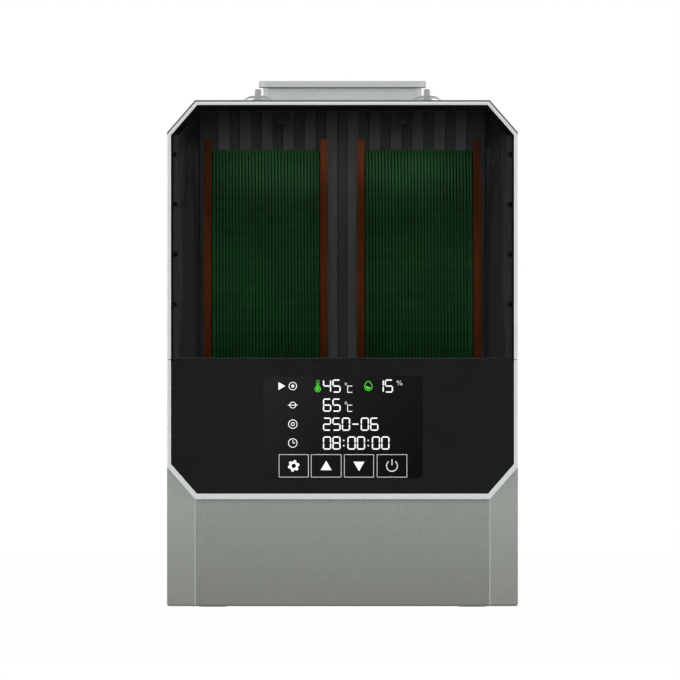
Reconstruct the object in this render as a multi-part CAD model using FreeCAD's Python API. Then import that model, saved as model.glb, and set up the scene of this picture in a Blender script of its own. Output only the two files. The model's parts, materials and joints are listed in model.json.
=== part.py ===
import FreeCAD, Part
import math
import os

V = FreeCAD.Vector
os.makedirs("parts", exist_ok=True)

# Driving dimensions in millimetres: X to the right, Y to the back, Z up, front at -Y
spool_diameter = 200.0
spool_width = 75.4
flange_thick = 4.7
spool_bore = 53.0
spools_apart = 17.4
side_room = 21.9            # from a spool's outer flange to the outside of the box
front_room = 54.5           # from the spools' front edge to the face of the frame
rear_room = 34.5            # from the spools' rear edge to the hinge barrels
head_room = 22.5            # from the top of a spool to the top of the lid
base_height = 65.0          # lower edge of the front frame
foot_stand = 0.5            # what the rubber feet lift the base off the table
parting_drop = 34.5         # the lid parts from the base this far below the spool axis
wall = 3.0
corner_across = 17.0        # bevelled corners of the front outline, along X
corner_along = 19.5         # and along Z
frame_depth = 4.0
frame_side = 2.4
frame_top = 2.0
frame_bottom = 3.5
frame_lower = 3.1           # width of the frame's lower diagonals
frame_set_in = 1.0          # the frame stands in from the shell on top
frame_proud = 1.5           # the frame stands this far in front of the base
tray_rise = 7.0             # chamber floor above the lower edge of the frame
tray_thick = 2.5
under_spool = 9.2           # from the chamber floor to the bottom of a spool
hinge_radius = 3.3
rear_round = 4.0
lip_reach = 6.5             # inward lip behind the window and the control panel
turn_count = 24
filament_tube = 2.1

# Named clearances
running_fit = 0.05
slide_gap = 0.3
roll_gap = 0.3
seat_gap = 0.15
lid_gap = 1.6               # closed by the seal
hinge_clear = 0.4           # between the hinge barrels and the rear wall
past = 1.0                  # how far a cut runs past the face it opens
sink = 0.5                  # how far a piece runs into what it is joined to

# Sizes worked out from the ones above
half_width = spool_width + spools_apart / 2 + side_room
depth = spool_diameter + front_room + rear_room
front = -depth / 2
shell_front = front + frame_depth
base_front = front + frame_proud
spool_radius = spool_diameter / 2
spool_x = (spool_width + spools_apart) / 2
spool_y = front + front_room + spool_radius
tray_under = base_height + tray_rise
tray_top = tray_under + tray_thick
spool_z = tray_top + under_spool + spool_radius
shell_top = spool_z + spool_radius + head_room
parting = spool_z - parting_drop
rim = parting - lid_gap + seat_gap * 2
lid_bottom = rim + lid_gap
hinge_y = depth / 2 - hinge_radius
back = hinge_y - hinge_radius - hinge_clear
bottom_top = foot_stand + wall

AXIS_X = V(1, 0, 0)
AXIS_Y = V(0, 1, 0)
AXIS_Z = V(0, 0, 1)
SIDES = (("left", -1), ("right", 1))


def box(x0, x1, y0, y1, z0, z1):
    return Part.makeBox(x1 - x0, y1 - y0, z1 - z0, V(x0, y0, z0))


def standing(size, x, y, z):
    """Block of the given size with its lowest corner at a place."""
    return Part.makeBox(*size, V(x, y, z))


def prism(points, travel):
    return Part.Face(Part.makePolygon(points + points[:1])).extrude(travel)


def rod(radius, start, axis, length):
    return Part.makeCylinder(radius, length, start, axis)


def tube(outer, inner, start, axis, length):
    return rod(outer, start, axis, length).cut(rod(inner, start, axis, length))


def joined(shapes):
    """One solid from shapes that meet or cross."""
    return shapes[0].multiFuse(shapes[1:]).removeSplitter()


def rounded_box(x0, x1, y0, y1, z0, z1, radius, axis):
    """Box with its four edges along the axis rounded."""
    body = box(x0, x1, y0, y1, z0, z1)
    edges = [edge for edge in body.Edges if abs(edge.tangentAt(edge.FirstParameter).dot(axis)) > 0.9]
    return body.makeFillet(radius, edges)


def mirrored(shape):
    return shape.mirror(V(0, 0, 0), AXIS_X)


def revolved(profile, centre, axis):
    """Solid of revolution from (radius, height) pairs about an axis along Z, turned to the axis."""
    points = [V(radius, 0, height) for radius, height in profile]
    solid = Part.Face(Part.makePolygon(points + points[:1])).revolve(V(0, 0, 0), AXIS_Z, 360)
    solid.Placement = FreeCAD.Placement(centre, FreeCAD.Rotation(AXIS_Z, axis))
    return solid


def bevel_ends(across, along, side, flat, diagonal):
    """Where a bevelled corner's diagonal ends once the side, the flat edge and it are set in.

    Gives the distance from the outer side to its end on the flat edge, and from the outer flat
    edge to its end on the side."""
    slant = math.hypot(across, along)
    from_side = across - (across * flat - diagonal * slant) / along
    from_flat = (along * (across - side) + diagonal * slant) / across
    return from_side, from_flat


def front_outline(y, side, top, bottom, upper, lower):
    """Eight-cornered front outline, set in by its own amount at each kind of edge."""
    top_end, top_drop = bevel_ends(corner_across, corner_along, side, top, upper)
    low_end, low_rise = bevel_ends(corner_across, corner_along, side, bottom, lower)
    right = [
        (half_width - low_end, base_height + bottom),
        (half_width - side, base_height + low_rise),
        (half_width - side, shell_top - top_drop),
        (half_width - top_end, shell_top - top),
    ]
    left = [(-x, z) for x, z in reversed(right)]
    return [V(x, y, z) for x, z in right + left]


def front_prism(y0, y1, side=0.0, top=0.0, bottom=0.0, upper=0.0, lower=0.0):
    return prism(front_outline(y0, side, top, bottom, upper, lower), V(0, y1 - y0, 0))


def even_prism(y0, y1, inset):
    return front_prism(y0, y1, inset, inset, inset, inset, inset)


def above(z):
    return box(-2 * half_width, 2 * half_width, -depth, depth, z, 2 * shell_top)


def below(z):
    return box(-2 * half_width, 2 * half_width, -depth, depth, -shell_top, z)


facet_across = corner_across
facet_along = 9.0


def base_plan(inset, z0, z1):
    """The base seen from above: a rectangle with bevelled front corners."""
    end, rise = bevel_ends(facet_across, facet_along, inset, inset, inset)
    right = [
        (half_width - end, base_front + inset),
        (half_width - inset, base_front + rise),
        (half_width - inset, back - inset),
    ]
    left = [(-x, y) for x, y in reversed(right)]
    points = [V(x, y, z0) for x, y in right + left]
    return prism(points, V(0, 0, z1 - z0))


def edges_at(shape, test):
    """Edges whose ends both pass the test."""
    return [edge for edge in shape.Edges if all(test(vertex.Point) for vertex in edge.Vertexes)]


def near(value, place):
    return abs(value - place) < 0.01


# Base housing and what closes it
head_depth = 14.0           # the bevelled head of the base behind the frame
belt = 4.0                  # extra wall where the head meets the front of the base
front_bar = 4.9             # bar of the front lip below the rim
boss_radius = 5.0
boss_height = 20.0
boss_lap = 1.0              # how far a boss runs into the side wall
screw_radius = 1.2
gusset_reach = 10.0
gusset_height = 25.0
gusset_thick = 2.5
gusset_from_ends = 54.0
boss_x = half_width - wall - boss_radius + boss_lap
boss_from_front = 27.0
boss_from_back = 14.0
boss_rows = (front + boss_from_front, 0.0, back - boss_from_back)
boss_places = [(side * boss_x, y) for side in (-1, 1) for y in boss_rows]
hinge_from_side = 45.6
hinge_x = half_width - hinge_from_side
leaf_screw_radius = 1.5
leaf_screw_apart = 14.0     # from the middle of a leaf
leaf_screw_rise = 15.0      # from the pin's axis
inlet_from_side = 40.3
inlet_x = half_width - inlet_from_side
inlet_z = 35.8
inlet_wide = 27.0
inlet_high = 19.5


def tray_gussets():
    """Triangular ribs on the side walls that carry the chamber tray."""
    inner = half_width - wall + sink
    ribs = []
    for y in (front + gusset_from_ends, 0.0, back - gusset_from_ends):
        points = [
            V(inner, y, tray_under),
            V(inner - gusset_reach, y, tray_under),
            V(inner, y, tray_under - gusset_height),
        ]
        rib = prism(points, V(0, gusset_thick, 0))
        ribs += [rib, mirrored(rib)]
    return ribs


def leaf_screw_places(up):
    """Where the screws of the upper (1) or lower (-1) hinge leaves meet the rear wall."""
    return [V(side * hinge_x + dx, back, parting + up * leaf_screw_rise)
            for side in (-1, 1) for dx in (-leaf_screw_apart, leaf_screw_apart)]


def leaf_screw_holes(up):
    """Clearance holes through a hinge leaf and the wall behind it."""
    radius = leaf_screw_radius + running_fit
    return [rod(radius, place - AXIS_Y * 2 * wall, AXIS_Y, 4 * wall) for place in leaf_screw_places(up)]


def base_housing():
    lower = base_plan(0.0, foot_stand, rim)
    rear = edges_at(lower, lambda p: near(p.y, back))
    upright = [edge for edge in rear if near(edge.Length, rim - foot_stand)]
    lower = lower.makeFillet(rear_round, upright)
    lower = lower.makeFillet(wall / 2, edges_at(lower, lambda p: near(p.z, foot_stand)))
    lower = lower.cut(front_prism(front - past, shell_front))
    head = front_prism(shell_front, shell_front + head_depth).common(below(rim))
    bosses = [rod(boss_radius, V(x, y, bottom_top), AXIS_Z, boss_height) for x, y in boss_places]
    kept_front = front_prism(front - past, shell_front + wall, bottom=-belt, lower=-belt)
    cavity = base_plan(wall, foot_stand - past, rim + past).cut(kept_front)
    inside = (shell_front + wall, shell_front + head_depth + past)
    head_cavity = front_prism(*inside, side=wall, bottom=wall, lower=wall).common(below(rim + past))
    through_lip = (shell_front - past, shell_front + wall + past)
    opening = even_prism(*through_lip, lip_reach).common(below(rim - front_bar))
    shell = lower.fuse(head).cut(cavity).cut(head_cavity).cut(opening)
    body = joined([shell] + bosses + tray_gussets())
    holes = [rod(screw_radius + running_fit, V(x, y, 0), AXIS_Z, boss_height) for x, y in boss_places]
    wide = inlet_wide / 2 + seat_gap
    high = inlet_high / 2 + seat_gap
    socket = box(inlet_x - wide, inlet_x + wide, back - 2 * wall, back + past, inlet_z - high, inlet_z + high)
    return body.cut(Part.Compound(holes + leaf_screw_holes(-1) + [socket]))


foot_radius = 9.0
foot_taper = 1.2
foot_sink = 1.3
foot_from_side = 27.5
foot_from_front = 34.0
foot_from_back = 26.0
foot_places = [(sx * (half_width - foot_from_side), y) for sx in (-1, 1)
               for y in (front + foot_from_front, back - foot_from_back)]
screw_head = 2.8
head_high = 1.8
head_sunk = 0.4
screw_reach = 12.0          # how far a screw goes into its boss
fan_half = 46.0
fan_behind = 25.0           # the fan's middle behind the spools' axle
fan_y = spool_y + fan_behind
intake_slots = 11
intake_edge = 4.2           # from the fan's edge to the first and last slot's pitch
intake_ends = 6.0
intake_wide = 4.0
board_gap = 1.0             # between the mains board and the bosses
board_behind = 20.0
board_wide = 42.0
board_long = 120.0
board_x = boss_radius + board_gap + board_wide / 2 - boss_x
board_y = spool_y + board_behind
stud_radius = 3.0
stud_high = 8.0
stud_edge = 4.0
stud_places = [(board_x + sx * (board_wide / 2 - stud_edge), board_y + sy * (board_long / 2 - stud_edge))
               for sx in (-1, 1) for sy in (-1, 1)]


slot_round = 0.49           # end radius over width: a full half would leave no flat


def slot_row(count, pitch, long, wide, x, y, z0, z1):
    """Row of round-ended slots along Y, side by side along X."""
    slots = []
    for index in range(count):
        middle = x + (index - (count - 1) / 2) * pitch
        slots.append(rounded_box(middle - wide / 2, middle + wide / 2, y - long / 2, y + long / 2,
                                 z0, z1, wide * slot_round, AXIS_Z))
    return slots


def bottom_plate():
    plate = base_plan(wall + seat_gap, foot_stand, bottom_top)
    studs = [rod(stud_radius, V(x, y, bottom_top - sink), AXIS_Z, stud_high + sink) for x, y in stud_places]
    pitch = 2 * (fan_half - intake_edge) / intake_slots
    long = 2 * (fan_half - intake_ends)
    cuts = slot_row(intake_slots, pitch, long, intake_wide, 0.0, fan_y, foot_stand - past, bottom_top + past)
    for x, y in boss_places:
        cuts.append(rod(screw_radius + seat_gap, V(x, y, 0), AXIS_Z, bottom_top + past))
        cuts.append(rod(screw_head + seat_gap * 2, V(x, y, 0), AXIS_Z, foot_stand + head_high))
    for x, y in foot_places:
        cuts.append(rod(foot_radius + seat_gap, V(x, y, 0), AXIS_Z, foot_stand + foot_sink))
    return joined([plate] + studs).cut(Part.Compound(cuts))


def rubber_feet():
    top = foot_stand + foot_sink
    profile = [(0, 0), (foot_radius - foot_taper, 0), (foot_radius, foot_stand), (foot_radius, top), (0, top)]
    return Part.Compound([revolved(profile, V(x, y, 0), AXIS_Z) for x, y in foot_places])


def bottom_screws():
    top = foot_stand + head_high
    low = foot_stand + head_sunk
    tip = bottom_top + screw_reach
    profile = [(0, low), (screw_head, low), (screw_head, top), (screw_radius, top), (screw_radius, tip),
               (0, tip)]
    return Part.Compound([revolved(profile, V(x, y, 0), AXIS_Z) for x, y in boss_places])


def lower_front_frame():
    outer = front_prism(front, shell_front)
    through = (front - past, shell_front + past)
    inner = front_prism(*through, side=frame_side, bottom=frame_bottom, lower=frame_lower)
    return outer.cut(inner).common(below(parting))


# Control panel with its display
panel_recess = 0.5
panel_front = front + panel_recess
display_wide = 96.5
display_high = 61.8
display_round = 3.0
display_up = 1.6            # the display stands above the middle of the panel
display_z = (base_height + parting) / 2 + display_up
lens_thick = 2.2
lens_ledge = 3.0
module_deep = 7.5
post_radius = 3.5
post_long = 12.5
board_thick = 1.6
post_out = 6.0              # posts stand this far outside the display
post_drop = 5.0
post_bore = 1.2
post_places = [(sx * (display_wide / 2 + post_out), display_z + sz * (display_high / 2 - post_drop))
               for sx in (-1, 1) for sz in (-1, 1)]
module_lap = 0.8
pocket_count = 4
pocket_wide = 18.0
pocket_deep = 3.0
pocket_edge = 9.3
board_lap = 11.0            # the control board reaches this far outside the display
chip_size = (14.0, 1.8, 14.0)
socket_size = (24.0, 8.0, 7.0)


def display_block(grow, y0, y1):
    """Rounded rectangle of the display, grown or shrunk on every side."""
    wide = display_wide / 2 + grow
    high = display_high / 2 + grow
    return rounded_box(-wide, wide, y0, y1, display_z - high, display_z + high, display_round, AXIS_Y)


def control_panel():
    plate = front_prism(panel_front, shell_front, side=frame_side + seat_gap, bottom=frame_bottom + seat_gap,
                        lower=frame_lower + seat_gap).common(below(parting - seat_gap))
    posts = [rod(post_radius, V(x, shell_front - sink, z), AXIS_Y, post_long + sink) for x, z in post_places]
    seat = display_block(0.0, panel_front - past, panel_front + lens_thick)
    through = display_block(-lens_ledge, panel_front, shell_front + past)
    bores = [rod(post_bore, V(x, shell_front + past, z), AXIS_Y, post_long) for x, z in post_places]
    return joined([plate] + posts).cut(Part.Compound([seat, through] + bores))


def display_lens():
    return display_block(-seat_gap, panel_front, panel_front + lens_thick)


def display_module():
    rear = shell_front + module_deep
    case = display_block(module_lap, shell_front, rear)
    glass = display_block(-lens_ledge - seat_gap, panel_front + lens_thick, shell_front + sink)
    high = display_high / 2 - pocket_edge
    pitch = (display_wide - pocket_edge) / pocket_count
    pockets = []
    for index in range(pocket_count):
        x = (index - (pocket_count - 1) / 2) * pitch
        pockets.append(box(x - pocket_wide / 2, x + pocket_wide / 2, rear - pocket_deep, rear + past,
                           display_z - high, display_z + high))
    return case.fuse(glass).cut(Part.Compound(pockets))


def control_board():
    y = shell_front + post_long
    rear = y + board_thick
    side = display_wide / 3
    wide = display_wide / 2 + board_lap
    board = box(-wide, wide, y, rear, display_z - display_high / 2, display_z + display_high / 2)
    chips = [standing(chip_size, x - chip_size[0] / 2, rear, display_z - chip_size[2] / 2)
             for x in (-side, 0.0)]
    socket = standing(socket_size, side - socket_size[0] / 2, rear, display_z - socket_size[2] / 2)
    holes = [rod(post_bore, V(x, y - past, z), AXIS_Y, board_thick + 2 * past) for x, z in post_places]
    return joined([board, socket] + chips).cut(Part.Compound(holes))


# Drying chamber inside the base
partition_in = 30.5         # the chamber wall behind the front of the frame
partition_drop = 1.0        # and below the rim
partition_y = front + partition_in
roller_radius = 9.0
roller_wide = 6.7
shaft_radius = 2.0
bearing_radius = 4.0
plate_thick = 3.0
plate_out = 4.0             # middle of a cradle plate outside the spool
horn = 11.0                 # the cradle reaches this far past the shafts
horn_round = 8.0
plate_foot = 9.0
dish_in = 1.0
cradle_windows = 2
window_pitch = 36.0
window_wide = 24.0
window_ends = 7.0
shaft_end = 0.5             # the shafts stand this far out of the plates
crown_in = 1.0
crown_wide = 1.2
roller_angle = math.radians(35.0)
roller_reach = spool_radius + roll_gap + roller_radius
roller_dy = roller_reach * math.sin(roller_angle)
roller_z = spool_z - roller_reach * math.cos(roller_angle)
flange_mid = spool_width / 2 - flange_thick / 2
plate_mid = spool_width / 2 + plate_out
cradle_reach = roller_dy + horn
cradle_floor = 2.5
duct_wall = 2.1
duct_high = 30.0
duct_ledge = 2.0
duct_round = 4.0
heater_half = fan_half - duct_wall - slide_gap
heater_high = 20.0
fin_count = 16
fin_gap = 3.8
fin_ends = 4.0
fan_deep = 20.0
fan_top = tray_under - duct_high
fan_bottom = fan_top - fan_deep
fan_rim = 3.0
fan_bore = fan_half - fan_rim
throat_step = 0.5
hole_edge = 4.75            # from the fan's edge to the middle of a screw hole
fan_hole = fan_half - hole_edge
air_slots = 13
air_edge = 2.0
air_ends = 6.0
air_wide = 3.4


def chamber_tray():
    fit = wall + slide_gap
    keep = box(-half_width, half_width, partition_y, depth, tray_under, shell_top)
    floor = base_plan(fit, tray_under, tray_top).common(keep)
    partition = box(-half_width + fit, half_width - fit, partition_y, partition_y + tray_thick,
                    tray_under, rim - partition_drop)
    pitch = 2 * (heater_half - air_edge) / air_slots
    long = 2 * (heater_half - air_ends)
    slots = slot_row(air_slots, pitch, long, air_wide, 0.0, fan_y, tray_under - past, tray_top + past)
    return joined([floor, partition]).cut(Part.Compound(slots))


def cradle_side(x):
    """Side plate with horns that hold the shafts, dished around the spool."""
    ends = (x, x + plate_thick, spool_y - cradle_reach, spool_y + cradle_reach, tray_top)
    plate = rounded_box(*ends, roller_z + horn, horn_round, AXIS_X)
    foot = box(*ends, tray_top + plate_foot)
    dish = rod(spool_radius - dish_in, V(x - past, spool_y, spool_z), AXIS_X, plate_thick + 2 * past)
    return plate.fuse(foot).cut(dish)


def roller_cradle(sign):
    inner = sign * spool_x - plate_mid - plate_thick / 2
    outer = sign * spool_x + plate_mid - plate_thick / 2
    low = tray_top + cradle_floor
    floor = box(inner, outer + plate_thick, spool_y - cradle_reach, spool_y + cradle_reach, tray_top, low)
    body = joined([floor, cradle_side(inner), cradle_side(outer)])
    long = cradle_reach - window_ends
    windows = slot_row(cradle_windows, window_pitch, long, window_wide, sign * spool_x, spool_y,
                       tray_top - past, low + past)
    bores = [rod(bearing_radius + running_fit, V(inner - past, spool_y + sy * roller_dy, roller_z), AXIS_X,
                 2 * (plate_mid + past) + plate_thick) for sy in (-1, 1)]
    return body.cut(Part.Compound(windows + bores))


def roller_bearings():
    rings = []
    for side in (-1, 1):
        for end in (-1, 1):
            x = side * spool_x + end * plate_mid - plate_thick / 2
            for sy in (-1, 1):
                start = V(x, spool_y + sy * roller_dy, roller_z)
                rings.append(tube(bearing_radius, shaft_radius + running_fit, start, AXIS_X, plate_thick))
    return Part.Compound(rings)


def roller_shaft(side, sy):
    length = 2 * (plate_mid + shaft_end) + plate_thick
    start = V(side * spool_x - length / 2, spool_y + sy * roller_dy, roller_z)
    return rod(shaft_radius, start, AXIS_X, length)


def rollers(side, sy):
    """Two crowned rollers, one under each flange."""
    edge = roller_radius - crown_in
    bore = shaft_radius + running_fit / 2
    half = roller_wide / 2
    flat = half - crown_wide
    profile = [(bore, -half), (edge, -half), (roller_radius, -flat), (roller_radius, flat), (edge, half),
               (bore, half)]
    return Part.Compound([
        revolved(profile, V(side * spool_x + end * flange_mid, spool_y + sy * roller_dy, roller_z), AXIS_X)
        for end in (-1, 1)])


fan_holes = [(sx * fan_hole, fan_y + sy * fan_hole) for sx in (-1, 1) for sy in (-1, 1)]


def fan_block(half, z0, z1):
    """Round-cornered square block about the fan's axis."""
    return rounded_box(-half, half, fan_y - half, fan_y + half, z0, z1, duct_round, AXIS_Z)


def air_duct():
    outer = fan_block(fan_half, fan_top, tray_under)
    reach = heater_half + slide_gap
    inner = box(-reach, reach, fan_y - reach, fan_y + reach, fan_top + duct_ledge, tray_under + past)
    throat = rod(fan_bore - throat_step, V(0, fan_y, fan_top - past), AXIS_Z, duct_ledge + 2 * past)
    holes = [rod(screw_radius + running_fit, V(x, y, fan_top - past), AXIS_Z, duct_ledge + 2 * past)
             for x, y in fan_holes]
    return outer.cut(Part.Compound([inner, throat] + holes))


def heater_core():
    """Finned heating block; the air rises between its fins."""
    z0 = fan_top + duct_ledge
    z1 = z0 + heater_high
    block = box(-heater_half, heater_half, fan_y - heater_half, fan_y + heater_half, z0, z1)
    gaps = []
    fin = (2 * heater_half - fin_count * fin_gap) / (fin_count + 1)
    long = heater_half - fin_ends
    for index in range(fin_count):
        x = -heater_half + fin + index * (fin + fin_gap)
        gaps.append(box(x, x + fin_gap, fan_y - long, fan_y + long, z0 - past, z1 + past))
    return block.cut(Part.Compound(gaps))


hub_radius = 16.5
hub_skin = 1.5
hub_bush = 2.5
blade_count = 7
blade_half = 0.6            # half the thickness of a blade at its middle
blade_clear = 0.8
blade_tip = fan_bore - blade_clear
blade_hollow = 0.4          # bow of the inner side over that of the outer
blade_steps = [(48.0, 15.0), (35.0, 19.0), (26.0, 23.0)]   # pitch and chord at root, middle and tip
spoke_half = 2.0
spoke_high = 3.0
rotor_clear = 1.2           # between the spokes and the rotor
rotor_below = 1.5           # top of the rotor below the top of the fan
stub_below = 4.0
rotor_bottom = fan_bottom + spoke_high + rotor_clear
rotor_top = fan_top - rotor_below
fan_screw_hole = 2.2
fan_screw_head = 3.6
fan_head_high = 1.6


def fan_frame():
    centre = V(0, fan_y, fan_bottom)
    well = rod(fan_bore, centre - AXIS_Z * past, AXIS_Z, fan_deep + 2 * past)
    frame = fan_block(fan_half, fan_bottom, fan_top).cut(well)
    spokes = []
    for index in range(4):
        arm = box(hub_radius - past, fan_bore + past, -spoke_half, spoke_half, 0, spoke_high)
        arm.rotate(V(0, 0, 0), AXIS_Z, 45 + 90 * index)
        arm.translate(centre)
        spokes.append(arm)
    hub = rod(hub_radius, centre, AXIS_Z, spoke_high)
    stub = rod(shaft_radius, centre, AXIS_Z, fan_deep - stub_below)
    deep = fan_deep + 2 * past
    holes = [rod(fan_screw_hole, V(x, y, fan_bottom - past), AXIS_Z, deep) for x, y in fan_holes]
    return joined([frame, hub, stub] + spokes).cut(Part.Compound(holes))


def blade_section(radius, pitch_degrees, chord):
    """Thin slanted section of a fan blade, square to its radius."""
    slope = math.radians(pitch_degrees)
    along = V(0, math.cos(slope), math.sin(slope)) * (chord / 2)
    across = V(0, -math.sin(slope), math.cos(slope)) * blade_half
    middle = V(radius, 0, 0)
    corners = [middle - along, middle + across, middle + along, middle - across * blade_hollow]
    return Part.makePolygon(corners + corners[:1])


def fan_rotor():
    high = rotor_top - rotor_bottom
    bore = shaft_radius + running_fit
    inner = hub_radius - hub_skin
    roof = high - hub_skin
    bush = bore + hub_bush
    profile = [(bore, 0), (bush, 0), (bush, roof - sink), (inner, roof - sink), (inner, 0), (hub_radius, 0),
               (hub_radius, roof), (inner, high), (bore, high)]
    hub = revolved(profile, V(0, 0, 0), AXIS_Z)
    root = hub_radius - hub_skin / 2
    radii = (root, (root + blade_tip) / 2, blade_tip)
    blades = []
    for index in range(blade_count):
        sections = [blade_section(radius, pitch, chord) for radius, (pitch, chord) in zip(radii, blade_steps)]
        blade = Part.makeLoft(sections, True, True)
        blade.translate(V(0, 0, high / 2))
        blade.rotate(V(0, 0, 0), AXIS_Z, 360 / blade_count * index)
        blades.append(blade)
    limit = rod(blade_tip, V(0, 0, 0), AXIS_Z, high)
    rotor = joined([hub] + [blade.common(limit) for blade in blades])
    rotor.translate(V(0, fan_y, rotor_bottom))
    return rotor


def fan_screws():
    tip = fan_top + duct_ledge - slide_gap
    low = fan_bottom - fan_head_high
    profile = [(0, low), (fan_screw_head, low), (fan_screw_head, fan_bottom), (screw_radius, fan_bottom),
               (screw_radius, tip), (0, tip)]
    return Part.Compound([revolved(profile, V(x, y, 0), AXIS_Z) for x, y in fan_holes])


transformer_size = (26.0, 28.0, 22.0)
sink_size = (4.0, 34.0, 26.0)
terminal_size = (26.0, 10.0, 12.0)
capacitor_radius = 6.0
capacitor_high = 24.0
part_edge = 4.0             # from the edge of the mains board to the parts on it


def power_board():
    """Mains board on the bottom plate's studs, with its transformer, capacitors and heat sink."""
    z = bottom_top + stud_high
    top = z + board_thick
    x0 = board_x - board_wide / 2
    y0 = board_y - board_long / 2
    board = box(x0, x0 + board_wide, y0, y0 + board_long, z, top)
    mid_x = board_x - transformer_size[0] / 2
    transformer = standing(transformer_size, mid_x, board_y - transformer_size[1] / 2, top)
    heat_sink = standing(sink_size, x0 + part_edge, y0 + board_long - sink_size[1] - 2 * part_edge, top)
    terminals = standing(terminal_size, mid_x, y0 + part_edge, top)
    caps_y = y0 + 2 * part_edge + terminal_size[1] + capacitor_radius
    caps_x = capacitor_radius + past
    caps = [rod(capacitor_radius, V(board_x + end * caps_x, caps_y, top), AXIS_Z, capacitor_high)
            for end in (-1, 1)]
    return joined([board, transformer, heat_sink, terminals] + caps)


inlet_flange = 2.5
inlet_lap = 5.0
inlet_deep = 22.0
inlet_wall = 1.8
inlet_floor = 4.0
inlet_round = 2.5
pin_sink = 6.0
pin_tail = 6.0
pin_half = (1.0, 2.0)
pin_pitch = 7.0
pin_rise = 2.0
pin_places = [(-pin_pitch, -pin_rise), (0.0, pin_rise), (pin_pitch, -pin_rise)]


def inlet_block(grow, y0, y1):
    wide = inlet_wide / 2 + grow
    high = inlet_high / 2 + grow
    low = inlet_z - high
    return rounded_box(inlet_x - wide, inlet_x + wide, y0, y1, low, inlet_z + high, inlet_round, AXIS_Y)


def pin_block(x, z, grow, y0, y1):
    """Flat contact pin at a place in the inlet, grown on every side."""
    wide = pin_half[0] + grow
    high = pin_half[1] + grow
    return box(inlet_x + x - wide, inlet_x + x + wide, y0, y1, inlet_z + z - high, inlet_z + z + high)


def power_inlet():
    flange = inlet_block(inlet_lap, back, back + inlet_flange)
    case = inlet_block(0.0, back - inlet_deep, back + sink)
    mouth = inlet_block(-inlet_wall, back - inlet_deep + inlet_floor, back + inlet_flange + past)
    holes = [pin_block(x, z, running_fit, back - inlet_deep - past, back) for x, z in pin_places]
    return flange.fuse(case).cut(Part.Compound([mouth] + holes))


def inlet_pins():
    y0 = back - inlet_deep - pin_tail
    y1 = back + inlet_flange - pin_sink
    return Part.Compound([pin_block(x, z, 0.0, y0, y1) for x, z in pin_places])


sensor_half = (12.0, 7.0)
sensor_deep = 8.0
sensor_drop = 22.0          # the sensor's middle below the parting
sensor_round = 2.5
sensor_slots = 4
sensor_pitch = 5.0
sensor_slot = (1.8, 4.0, 9.0)


def humidity_sensor():
    y = partition_y + tray_thick
    z = parting - sensor_drop
    wide, high = sensor_half
    case = rounded_box(-wide, wide, y, y + sensor_deep, z - high, z + high, sensor_round, AXIS_Y)
    slots = []
    for index in range(sensor_slots):
        x = (index - (sensor_slots - 1) / 2) * sensor_pitch - sensor_slot[0] / 2
        start = y + sensor_deep - sensor_slot[1] + sink
        slots.append(standing(sensor_slot, x, start, z - sensor_slot[2] / 2))
    return case.cut(Part.Compound(slots))


def rim_block(inset, z0, z1):
    """Outline of the rim where the lid meets the base, rounded at the rear."""
    wide = half_width - inset
    body = box(-wide, wide, shell_front + inset, back - inset, z0, z1)
    rear = [edge for edge in edges_at(body, lambda p: near(p.y, back - inset)) if near(edge.Length, z1 - z0)]
    return body.makeFillet(rear_round, rear)


seal_in = 0.6
seal_wide = 2.0


def base_seal():
    inner = rim_block(seal_in + seal_wide, rim - past, lid_bottom + past)
    return rim_block(seal_in, rim, lid_bottom).cut(inner)


# Hinges at the rear
leaf_half = 22.0
leaf_thick = 1.5
leaf_high = 22.0
leaf_from = 4.5             # the leaf starts this far from the pin's axis
leaf_round = 1.5
neck_to = 8.0
neck_from = 0.6
pin_radius = 1.5
pin_head = 2.2
pin_head_high = 0.8
lid_knuckle = 10.0
knuckle_gap = 0.25


def hinge_leaf(x, spans, up, bore):
    """Leaf with its knuckles on the given spans; up is 1 for the lid's leaf and -1 for the base's."""
    low, high = sorted((parting + up * leaf_from, parting + up * leaf_high))
    plate = rounded_box(x - leaf_half, x + leaf_half, back, back + leaf_thick, low, high, leaf_round, AXIS_Y)
    shapes = [plate]
    for start, end in spans:
        corners = [(back, neck_to), (back, neck_from), (hinge_y, neck_from), (hinge_y, hinge_radius)]
        neck = [V(x + start, y, parting + up * reach) for y, reach in corners]
        shapes.append(prism(neck, V(end - start, 0, 0)))
        shapes.append(rod(hinge_radius, V(x + start, hinge_y, parting), AXIS_X, end - start))
    bore_rod = rod(bore, V(x - leaf_half - past, hinge_y, parting), AXIS_X, 2 * (leaf_half + past))
    return joined(shapes).cut(Part.Compound([bore_rod] + leaf_screw_holes(up)))


leaf_head = 2.9
leaf_head_high = 1.1
leaf_head_edge = 0.5
recess_wide = 0.7
recess_long = 3.0
recess_deep = 0.7


def leaf_screw(place):
    """Pan-head screw with a cross recess, through a leaf and the wall."""
    under = leaf_thick
    top = under + leaf_head_high
    tip = seat_gap - wall
    profile = [(0, tip), (leaf_screw_radius, tip), (leaf_screw_radius, under), (leaf_head, under),
               (leaf_head, top - leaf_head_edge), (leaf_head - leaf_head_edge, top), (0, top)]
    long, wide = recess_long / 2, recess_wide / 2
    low = place.y + top - recess_deep
    recess = [box(place.x - dx, place.x + dx, low, low + recess_deep + past, place.z - dz, place.z + dz)
              for dx, dz in ((long, wide), (wide, long))]
    return revolved(profile, place, AXIS_Y).cut(Part.Compound(recess))


def hinge_base_screws():
    return Part.Compound([leaf_screw(place) for place in leaf_screw_places(-1)])


def hinge_lid_screws():
    return Part.Compound([leaf_screw(place) for place in leaf_screw_places(1)])


def hinge_base_leaves():
    edge = lid_knuckle + knuckle_gap
    spans = [(-leaf_half, -edge), (edge, leaf_half)]
    bore = pin_radius + running_fit / 2
    return Part.Compound([hinge_leaf(side * hinge_x, spans, -1, bore) for side in (-1, 1)])


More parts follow.
